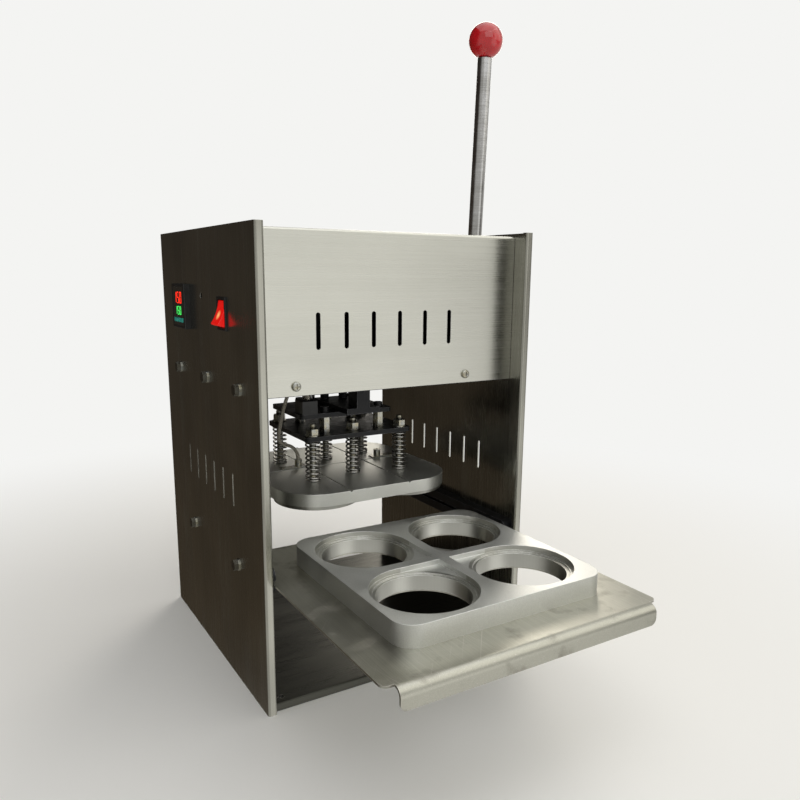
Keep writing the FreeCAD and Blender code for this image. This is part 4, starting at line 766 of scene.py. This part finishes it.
GRID_INPUTS = {"Columns": "NodeSocketInt", "Rows": "NodeSocketInt", "Width": "NodeSocketFloat",
               "Depth": "NodeSocketFloat", "Inset": "NodeSocketFloat", "Middle": "NodeSocketVector",
               "Material": "NodeSocketMaterial"}


class Repeated(Wiring):
    """A geometry tree that stands one item on every crossing of a grid."""

    def __init__(self, name: str, sizes: dict[str, float]) -> None:
        """Start the tree.

        Args:
            name: The tree's name.
            sizes: The item's own named inputs, with their defaults.
        """
        super().__init__(bpy.data.node_groups.new(name, "GeometryNodeTree"))
        sockets = self.tree.interface
        sockets.new_socket("Geometry", in_out="OUTPUT", socket_type="NodeSocketGeometry")
        for label, default in sizes.items():
            sockets.new_socket(label, in_out="INPUT", socket_type="NodeSocketFloat").default_value = default
        for label, kind in GRID_INPUTS.items():
            sockets.new_socket(label, in_out="INPUT", socket_type=kind)
        self.given = self.tree.nodes.new("NodeGroupInput").outputs

    def stand(self, item: bpy.types.NodeSocket) -> bpy.types.NodeTree:
        """Stand the item on the grid, with the middle column's ends drawn in, and end the tree.

        Args:
            item: The geometry that is repeated.

        Returns:
            The tree, which ends in real meshes with one finish.
        """
        grid = self.add("GeometryNodeMeshGrid", {
            "Size X": self.given["Width"], "Size Y": self.given["Depth"],
            "Vertices X": self.given["Columns"], "Vertices Y": self.given["Rows"]})
        spot = self.add("ShaderNodeSeparateXYZ", self.add("GeometryNodeInputPosition")).node.outputs
        off_middle = self.add(MATH, spot[0], operation="ABSOLUTE")
        central = self.add(MATH, off_middle, MM, operation="LESS_THAN")
        outward = self.add(MATH, self.add(MATH, spot[1], operation="SIGN"), self.given["Inset"], **TIMES)
        inward = self.add("ShaderNodeCombineXYZ", {1: self.add(MATH, outward, -1.0, **TIMES)})
        drawn_in = self.add("GeometryNodeSetPosition", {"Geometry": grid, "Selection": central, "Offset": inward})
        moved = self.add("GeometryNodeTransform", {"Geometry": drawn_in, "Translation": self.given["Middle"]})
        stood = self.add("GeometryNodeInstanceOnPoints", {"Points": moved, "Instance": item})
        real = self.add("GeometryNodeRealizeInstances", stood)
        painted = self.add("GeometryNodeSetMaterial", {"Geometry": real, "Material": self.given["Material"]})
        self.add("NodeGroupOutput", painted)
        return self.tree


def grown(name: str, tree: bpy.types.NodeTree, values: dict[str, object], finish: Finish) -> bpy.types.Object:
    """Run a geometry tree once and keep its mesh.

    Args:
        name: The piece's name.
        tree: The tree.
        values: Values of its named inputs.
        finish: What the piece is dressed in.

    Returns:
        A piece with a plain mesh.
    """
    piece = bpy.data.objects.new(name, bpy.data.meshes.new(name))
    bpy.context.scene.collection.objects.link(piece)
    modifier = piece.modifiers.new(tree.name, "NODES")
    modifier.node_group = tree
    sockets = {item.name: item.identifier for item in tree.interface.items_tree if item.in_out == "INPUT"}
    for label, value in {**values, "Material": finish.material()}.items():
        modifier[sockets[label]] = value
    made_plain(piece)
    piece.data.name = name
    piece.data.shade_smooth()
    piece.data.set_sharp_from_angle(angle=math.radians(40))
    log.info("piece %s: %d faces", name, len(piece.data.polygons))
    return piece

def spring_tree() -> bpy.types.NodeTree:
    """Make the tree of coil springs with closed end turns.

    Returns:
        A tree whose springs stand on the Middle input's height.
    """
    springs = Repeated("coil_springs", {"Coil radius": 0.006, "Wire radius": 0.0009, "Height": 0.045, "Turns": 9.0})
    given, add = springs.given, springs.add
    line = add("GeometryNodeCurveSpiral", {
        "Resolution": 40, "Rotations": given["Turns"], "Start Radius": given["Coil radius"],
        "End Radius": given["Coil radius"], "Height": given["Height"]})
    turn = add(MATH, add("GeometryNodeSplineParameter", out="Factor"), given["Turns"], **TIMES)
    wire = add(MATH, given["Wire radius"], 2.0, **TIMES)
    # the first and the last turn lie flat, one wire thick, and the rest share what is left
    first = add(MATH, turn, 0.0, use_clamp=True)
    last = add(MATH, turn, add(MATH, given["Turns"], 1.0, **MINUS), use_clamp=True, **MINUS)
    middle = add(MATH, add(MATH, turn, 1.0, **MINUS), add(MATH, given["Turns"], 2.0, **MINUS),
                 operation="DIVIDE", use_clamp=True)
    open_height = add(MATH, given["Height"], add(MATH, wire, 3.0, **TIMES), **MINUS)
    height = add(MATH, add(MATH, first, last), wire, given["Wire radius"], operation="MULTIPLY_ADD")
    height = add(MATH, middle, open_height, height, operation="MULTIPLY_ADD")
    spot = add("ShaderNodeSeparateXYZ", add("GeometryNodeInputPosition")).node.outputs
    place = add("ShaderNodeCombineXYZ", spot[0], spot[1], height)
    coiled = add("GeometryNodeSetPosition", {"Geometry": line, "Position": place})
    section = add("GeometryNodeCurvePrimitiveCircle", {"Resolution": 14, "Radius": given["Wire radius"]})
    return springs.stand(add("GeometryNodeCurveToMesh", {
        "Curve": coiled, "Profile Curve": section, "Fill Caps": True}))


def stud_tree() -> bpy.types.NodeTree:
    """Make the tree of threaded studs: a core with a ridge wound round it.

    Returns:
        A tree whose studs stand on the Middle input's height.
    """
    studs = Repeated("threaded_studs", {"Radius": 0.004, "Pitch": 0.00125, "Height": 0.07})
    given, add = studs.given, studs.add
    half_pitch = add(MATH, given["Pitch"], 0.5, **TIMES)
    core_radius = add(MATH, given["Radius"], half_pitch, **MINUS)
    core = add("GeometryNodeMeshCylinder", {"Vertices": 28, "Radius": core_radius, "Depth": given["Height"]})
    lift = add("ShaderNodeCombineXYZ", {2: add(MATH, given["Height"], 0.5, **TIMES)})
    stood = add("GeometryNodeTransform", {"Geometry": core, "Translation": lift})
    long = add(MATH, given["Height"], given["Pitch"], **MINUS)
    line = add("GeometryNodeCurveSpiral", {
        "Resolution": 20, "Rotations": add(MATH, long, given["Pitch"], operation="DIVIDE"),
        "Start Radius": core_radius, "End Radius": core_radius, "Height": long})
    ridge = add("GeometryNodeCurvePrimitiveCircle", {"Resolution": 4, "Radius": add(MATH, given["Pitch"], 0.48,
                                                                                    **TIMES)})
    wound = add("GeometryNodeCurveToMesh", {"Curve": line, "Profile Curve": ridge, "Fill Caps": True})
    shift = add("ShaderNodeCombineXYZ", {2: half_pitch})
    lifted = add("GeometryNodeTransform", {"Geometry": wound, "Translation": shift})
    both = add("GeometryNodeJoinGeometry", stood)
    studs.tree.links.new(lifted, both.node.inputs[0])
    return studs.stand(both)


# ---- sub-assemblies ----------------------------------------------------------------------


@dataclass
class Display:
    """Seven-segment digits on the controller's window, facing -X."""

    digit_width: float = 0.0056
    digit_height: float = 0.0115
    gap: float = 0.0042
    stroke: float = 0.0009
    proud: float = 0.00025

    SEGMENTS = {"0": "abcdef", "1": "bc", "5": "acdfg", "8": "abcdefg"}

    def bars(self, digit: str, left: float, low: float) -> list[tuple[float, float, float, float]]:
        """List a digit's bars.

        Args:
            digit: One figure.
            left: Where it starts, across.
            low: Its foot.

        Returns:
            Start and end of each bar, across and up.
        """
        w, h = self.digit_width, self.digit_height
        spots = {
            "a": (0, h, w, h), "b": (w, h / 2, w, h), "c": (w, 0, w, h / 2), "d": (0, 0, w, 0),
            "e": (0, 0, 0, h / 2), "f": (0, h / 2, 0, h), "g": (0, h / 2, w, h / 2),
        }
        return [(left + a, low + b, left + c, low + d) for a, b, c, d in (spots[s] for s in self.SEGMENTS[digit])]

    def build(self, name: str, text: str, middle: float, low: float, finish: Finish) -> bpy.types.Object:
        """Build a row of digits.

        Args:
            name: The piece's name.
            text: The figures.
            middle: Y of the row's middle.
            low: Z of its foot.
            finish: The lit finish.

        Returns:
            The piece.
        """
        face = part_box("controller_face")[0].x
        width = len(text) * self.digit_width + (len(text) - 1) * self.gap
        work = bmesh.new()
        for index, digit in enumerate(text):
            left = index * (self.digit_width + self.gap) - width / 2
            for a, b, c, d in self.bars(digit, left, low):
                self.bar(work, face, middle, (a, b), (c, d))
        bmesh.ops.recalc_face_normals(work, faces=work.faces)
        mesh = bpy.data.meshes.new(name)
        work.to_mesh(mesh)
        work.free()
        return new_piece(name, mesh, finish, smooth=False)

    def bar(self, work: bmesh.types.BMesh, face: float, middle: float, start: tuple[float, float],
            end: tuple[float, float]) -> None:
        """Add one bar with pointed ends; across runs from the viewer's left, which is +Y, to their right."""
        first, last = Vector(start), Vector(end)
        way = (last - first).normalized()
        side = Vector((-way.y, way.x)) * self.stroke / 2
        tip = self.stroke * 0.6
        outline = [first + way * 0.15 * tip, first + way * tip + side, last - way * tip + side,
                   last - way * 0.15 * tip, last - way * tip - side, first + way * tip - side]
        front = [work.verts.new((face - self.proud, middle - p.x, p.y)) for p in outline]
        back = [work.verts.new((face + self.proud, middle - p.x, p.y)) for p in outline]
        work.faces.new(front)
        work.faces.new(back[::-1])
        for i in range(len(outline)):
            j = (i + 1) % len(outline)
            work.faces.new([front[i], front[j], back[j], back[i]])


@dataclass
class Controls:
    """What the left panel carries: display digits and the lit rocker."""

    digits_up: float = 0.0035
    second_row_down: float = 0.0125
    pivot_in: float = 0.011  # from the rocker's outermost point to its pivot, along X
    top: tuple[float, float] = (0.0026, 0.0123)  # out from the pivot, and up from the middle
    dip: tuple[float, float] = (0.0042, -0.0005)
    lip: tuple[float, float] = (0.011, -0.0095)
    foot: tuple[tuple[float, float], ...] = ((0.0101, -0.0107), (0.004, -0.0123))
    back: tuple[float, float] = (0.0037, 0.0125)  # half axes of the rounded back
    back_half_angle: float = 78.0
    front_steps: int = 12
    back_steps: int = 16
    edge: float = 0.0007

    def build(self) -> None:
        """Make the digits and the rocker."""
        low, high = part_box("controller_face")
        middle, row = (low.y + high.y) / 2, (low.z + high.z) / 2 + self.digits_up
        large = Display()
        small = Display(digit_width=0.0044, digit_height=0.0085, gap=0.0034, stroke=0.0007)
        top = large.build("display_actual", "150", middle, row, RED_DIGITS)
        bottom = small.build("display_set", "150", middle, row - self.second_row_down, GREEN_DIGITS)
        for piece in (top, bottom):
            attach(piece, "cabinet")
        self.rocker()

    def rocker(self) -> None:
        """Make the rocker: a hollow front that swings out at its foot, and round flanks."""
        pivot, middle = ROCKER_LOW.x + self.pivot_in, (SWITCH_LOW.z + SWITCH_HIGH.z) / 2
        front = []
        for i in range(self.front_steps + 1):
            t = i / self.front_steps
            ends = (1 - t) ** 2, 2 * t * (1 - t), t ** 2
            out, up = (sum(w * p[k] for w, p in zip(ends, (self.top, self.dip, self.lip))) for k in (0, 1))
            front.append((pivot - out, middle + up))
        foot = [(pivot - out, middle + up) for out, up in self.foot]
        back = []
        for i in range(self.back_steps + 1):
            a = math.radians(self.back_half_angle * (2 * i / self.back_steps - 1))
            back.append((pivot - 0.0002 + self.back[0] * math.cos(a), middle + self.back[1] * math.sin(a)))
        mesh = prism("rocker_cap", front + foot + back, ROCKER_LOW.y, ROCKER_HIGH.y)
        piece = rounded(new_piece("rocker_cap", mesh, ROCKER_RED), self.edge)
        piece.data.shade_smooth()
        piece.data.set_sharp_from_angle(angle=math.radians(40))
        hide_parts("rocker")
        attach(piece, "rocker")


@dataclass
class PressFittings:
    """Springs, studs and leads of the press."""

    press_coil: float = 0.0075
    press_wire: float = 0.001
    press_turns: float = 10.0
    middle_inset: float = 0.011
    return_wire: float = 0.0008
    return_turns: float = 8.4
    lead_radius: float = 0.002

    def build(self) -> None:
        """Make the springs, the studs and the leads."""
        springs = spring_tree()
        self.press_springs(springs)
        self.return_springs(springs)
        self.studs()
        self.leads()

    def rows(self, node: str, columns: int, rows: int, radius: float, low: float) -> dict[str, object]:
        """Read a grid's size off the frame node it stands for.

        Args:
            node: The frame node.
            columns: Items along X.
            rows: Items along Y.
            radius: Radius of one item.
            low: Height that the items stand on.

        Returns:
            Values for GRID_INPUTS.
        """
        first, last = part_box(node)
        centre = (first + last) / 2
        return {"Columns": columns, "Rows": rows, "Width": last.x - first.x - 2 * radius,
                "Depth": last.y - first.y - 2 * radius if rows > 1 else 0.0,
                "Middle": (centre.x, centre.y, low)}

    def press_springs(self, tree: bpy.types.NodeTree) -> None:
        """Make the springs round the studs, which the press plate squeezes."""
        low, high = HEATER_HIGH.z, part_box("press_plate")[0].z
        values = self.rows("spring_studs", 3, 2, 0.004, low)
        values |= {"Coil radius": self.press_coil, "Wire radius": self.press_wire, "Height": high - low,
                   "Turns": self.press_turns, "Inset": self.middle_inset}
        piece = grown("press_spring_coils", tree, values, SPRING_STEEL)
        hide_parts("press_springs")
        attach(piece, "press_head")
        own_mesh(piece)

    def return_springs(self, tree: bpy.types.NodeTree) -> None:
        """Make the springs that lift the press, between the bushes and the rod collars."""
        low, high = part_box("guide_bushes")[1].z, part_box("rod_collars")[0].z
        values = self.rows("guide_rods", 2, 1, 0.005, low)
        values |= {"Coil radius": 0.007, "Wire radius": self.return_wire, "Height": high - low,
                   "Turns": self.return_turns}
        piece = grown("return_spring_coils", tree, values, SPRING_STEEL)
        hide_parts("return_springs")
        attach(piece, "cabinet")
        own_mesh(piece)

    def studs(self) -> None:
        """Make the threaded studs."""
        low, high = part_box("spring_studs")
        values = self.rows("spring_studs", 3, 2, 0.004, low.z)
        values |= {"Radius": 0.004, "Pitch": 0.00125, "Height": high.z - low.z, "Inset": self.middle_inset}
        piece = grown("spring_stud_threads", stud_tree(), values, ZINC_STEEL)
        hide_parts("spring_studs")
        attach(piece, "heater")

    def leads(self) -> None:
        """Make the sleeved leads along the frame's own routes."""
        x, y = HEATER_CENTRE
        top = HEATER_HIGH.z
        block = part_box("terminal_block")[1].z
        route = [
            (x - 0.046, y + 0.014, top + 0.0095), (x - 0.047, y + 0.014, top + 0.024),
            (x - 0.074, y + 0.008, top + 0.033), (x - 0.075, y - 0.004, top + 0.056),
            (x - 0.074, y - 0.018, block - 0.004), (x - 0.070, y - 0.027, block + 0.015),
            (x - 0.055, y - 0.027, block + 0.016), (x - 0.055, y - 0.027, block - 0.005),
        ]
        lead = new_piece("heater_lead_sleeve", tube("heater_lead_sleeve", smooth_path(route), self.lead_radius),
                         SLEEVE)
        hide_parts("heater_lead")
        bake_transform(lead)
        supply = [
            (x - 0.055, y - 0.037, block - 0.007), (x - 0.055, y - 0.037, block + 0.008),
            (-0.062, -0.045, 0.303), (-0.062, -0.045, 0.352),
        ]
        feed = new_piece("supply_lead_sleeve", tube("supply_lead_sleeve", smooth_path(supply), self.lead_radius),
                         SLEEVE)
        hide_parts("supply_lead")
        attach(feed, "press_head")


@dataclass
class Lever:
    """The ground rod and the ball, on the axis that the frame's own lever leans along."""

    rod_radius: float = 0.008
    ball_radius: float = 0.019
    shoulder: float = 0.2673
    length: float = 0.2843
    lean: float = math.radians(2.72)

    def build(self) -> None:
        """Make the rod and the ball."""
        low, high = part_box("lever_hub")
        pivot_x = (low.x + high.x) / 2
        hinge = next(j for j in frame["joints"] if j["name"] == "lever_turn")["pos_m"]
        place = Matrix.Translation((pivot_x, hinge[1], hinge[2])) @ Matrix.Rotation(self.lean, 4, "X")
        r, s = self.rod_radius, self.shoulder
        rod = turned("lever_rod_bar", [(0, 0.010), (r, 0.010), (r, s - 0.0012), (r - 0.0012, s), (0.005, s),
                                       (0.005, s + 0.014), (0, s + 0.014)], 72)
        rod.transform(place)
        bar = new_piece("lever_rod_bar", rod, BAR_STEEL)
        ball_profile = [(0, s), (0.0058, s)]
        start = -math.asin((self.length - s) / self.ball_radius)
        for i in range(1, 48):
            a = start + (math.pi / 2 - start) * i / 48
            ball_profile.append((self.ball_radius * math.cos(a), self.length + self.ball_radius * math.sin(a)))
        ball_profile.append((0, self.length + self.ball_radius))
        ball = turned("lever_ball", ball_profile, 96)
        ball.transform(place)
        knob = new_piece("lever_ball", ball, RED_BALL)
        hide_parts("lever_rod")
        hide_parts("lever_knob")
        for piece in (bar, knob):
            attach(piece, "lever")


# ---- studio ------------------------------------------------------------------------------


@dataclass(frozen=True)
class SoftBox:
    """One large soft light."""

    name: str
    place: tuple[float, float, float]
    aim: tuple[float, float, float]
    size: tuple[float, float]
    watts: float
    colour: str

    def hang(self) -> None:
        """Hang the light at its place, facing its aim."""
        lamp = bpy.data.lights.new(self.name, "AREA")
        lamp.shape = "RECTANGLE"
        lamp.size, lamp.size_y = self.size
        lamp.energy = self.watts
        lamp.color = linear(self.colour)[:3]
        holder = bpy.data.objects.new(self.name, lamp)
        holder.location = self.place
        holder.rotation_euler = (Vector(self.aim) - Vector(self.place)).to_track_quat("-Z", "Y").to_euler()
        bpy.context.scene.collection.objects.link(holder)


@dataclass
class Studio:
    """A pale floor, large soft lights and the camera."""

    floor_size: float = 14.0
    floor_fades: tuple[float, float] = (0.3, 1.1)
    backdrop: str = "#F4F4F2"
    camera_place: tuple[float, float, float] = (-0.3764, -0.7596, 0.4172)
    yaw: float = math.radians(31.55)
    pitch: float = math.radians(11.86)
    roll: float = math.radians(0.557)
    lens_mm: float = 33.08
    shift: tuple[float, float] = (-0.0029, 0.0349)
    lights: tuple[SoftBox, ...] = (
        SoftBox("key_front_right", (1.9, -1.5, 1.8), (0, 0, 0.3), (2.4, 2.4), 15, "#FFFDF4"),
        SoftBox("fill_front", (-0.5, -2.4, 1.9), (0, -0.1, 0.2), (2.6, 1.8), 14, "#F8FAFA"),
        SoftBox("top", (0.1, -0.2, 2.3), (0.0, -0.1, 0.2), (2.6, 2.6), 18, "#FFFFFF"),
        SoftBox("back_right", (1.4, 1.6, 1.4), (0, 0, 0.3), (0.9, 1.4), 14, "#FFF8EC"),
    )

    def build(self) -> None:
        """Set floor, lights, surroundings, camera and render settings."""
        self.floor()
        self.surroundings()
        for light in self.lights:
            light.hang()
        self.camera()
        settings = bpy.context.scene.view_settings
        settings.view_transform = "Standard"
        settings.look = "None"
        settings.exposure = 0.0

    def floor(self) -> None:
        """Lay the pale floor."""
        half = self.floor_size / 2
        mesh = bpy.data.meshes.new("floor")
        mesh.from_pydata([(-half, -half, 0), (half, -half, 0), (half, half, 0), (-half, half, 0)], [], [(0, 1, 2, 3)])
        material = bpy.data.materials.new("pale_floor")
        material.use_nodes = True
        nodes = Wiring(material.node_tree)
        nodes.tree.nodes.clear()
        paint = nodes.add("ShaderNodeBsdfPrincipled", {"Base Color": linear("#F2F1EF"), "Roughness": 0.7})
        # the floor runs into the backdrop with distance, so that no horizon shows
        place = nodes.add("ShaderNodeNewGeometry", out="Position")
        radius = nodes.add("ShaderNodeVectorMath", place, operation="LENGTH", out="Value")
        far = nodes.add(RANGE, radius, *self.floor_fades, 0.0, 1.0, **SOFTLY)
        glow = nodes.add("ShaderNodeEmission", linear(self.backdrop), 1.0)
        nodes.add("ShaderNodeOutputMaterial", nodes.add("ShaderNodeMixShader", far, paint, glow))
        mesh.materials.append(material)
        floor = bpy.data.objects.new("floor", mesh)
        floor.visible_glossy = False
        bpy.context.scene.collection.objects.link(floor)

    def patch(self, nodes: Wiring, way: tuple[float, float, float], start: float, full: float,
              most: float = 1.0) -> bpy.types.NodeSocket:
        """Fade in one side of the room.

        Args:
            nodes: The surroundings' tree.
            way: The direction of its middle.
            start: Cosine of the angle from its middle at which it starts.
            full: Cosine of the angle at which it is full.
            most: Its share when full.

        Returns:
            Its share in each direction.
        """
        seen = nodes.add("ShaderNodeTexCoord", out="Generated")
        near = nodes.add("ShaderNodeVectorMath", seen, Vector(way).normalized(), operation="DOT_PRODUCT", out="Value")
        return nodes.add(RANGE, near, start, full, 0.0, most, **SOFTLY)

    def surroundings(self) -> None:
        """Make a room for the metal to mirror: bright in front, dim and brown behind on the left."""
        world = bpy.data.worlds.new("studio")
        bpy.context.scene.world = world
        world.use_nodes = True
        nodes = Wiring(world.node_tree)
        nodes.tree.nodes.clear()
        front = self.patch(nodes, (0.45, -0.88, -0.22), 0.86, 0.985)
        room = nodes.add(MIX, {0: front, 6: linear("#C9C8C3"), 7: (1.13, 1.12, 1.07, 1.0)}, **COLOURS)
        # a dim doorway on the right, level with the machine
        doorway = self.patch(nodes, (0.8, -0.6, 0.1), 0.9, 1.0, 0.75)
        room = nodes.add(MIX, {0: doorway, 6: room, 7: linear("#4A4641")}, **COLOURS)
        height = nodes.add("ShaderNodeSeparateXYZ", nodes.add("ShaderNodeTexCoord", out="Generated"), out="Z")
        rise = nodes.add(RANGE, height, -0.45, 0.6, 0.0, 1.0)
        wall = nodes.add(MIX, {0: rise, 6: linear("#4A4135"), 7: linear("#302F2F")}, **COLOURS)
        behind = self.patch(nodes, (-0.5, 0.8, 0.3), 0.25, 0.7)
        room = nodes.add(MIX, {0: behind, 6: room, 7: wall}, **COLOURS)
        straight = nodes.add("ShaderNodeLightPath", out="Is Camera Ray")
        shown = nodes.add(MIX, {0: straight, 6: room, 7: linear(self.backdrop)}, **COLOURS)
        nodes.add("ShaderNodeOutputWorld", nodes.add("ShaderNodeBackground", shown, 1.0))

    def camera(self) -> None:
        """Stand the camera in front of the machine's left corner."""
        ahead = Vector((math.sin(self.yaw) * math.cos(self.pitch), math.cos(self.yaw) * math.cos(self.pitch),
                        -math.sin(self.pitch)))
        right = ahead.cross(Vector((0, 0, 1))).normalized()
        up = right.cross(ahead)
        tilted = right * math.cos(self.roll) + up * math.sin(self.roll)
        upright = up * math.cos(self.roll) - right * math.sin(self.roll)
        turn = Matrix((tilted, upright, -ahead)).transposed().to_4x4()
        lens = bpy.data.cameras.new("camera")
        lens.lens = self.lens_mm
        lens.sensor_width = 36.0
        lens.shift_x, lens.shift_y = self.shift
        lens.clip_start = 0.01
        holder = bpy.data.objects.new("camera", lens)
        holder.matrix_world = Matrix.Translation(self.camera_place) @ turn
        bpy.context.scene.collection.objects.link(holder)
        bpy.context.scene.camera = holder


def main() -> None:
    """Dress the frame, add the pieces and light the studio."""
    logging.basicConfig(level=logging.INFO, format="%(name)s: %(message)s")
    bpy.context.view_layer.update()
    Studio().build()
    dress_frame()
    for part in (Controls(), PressFittings(), Lever()):
        part.build()


if __name__ == "__main__":
    main()
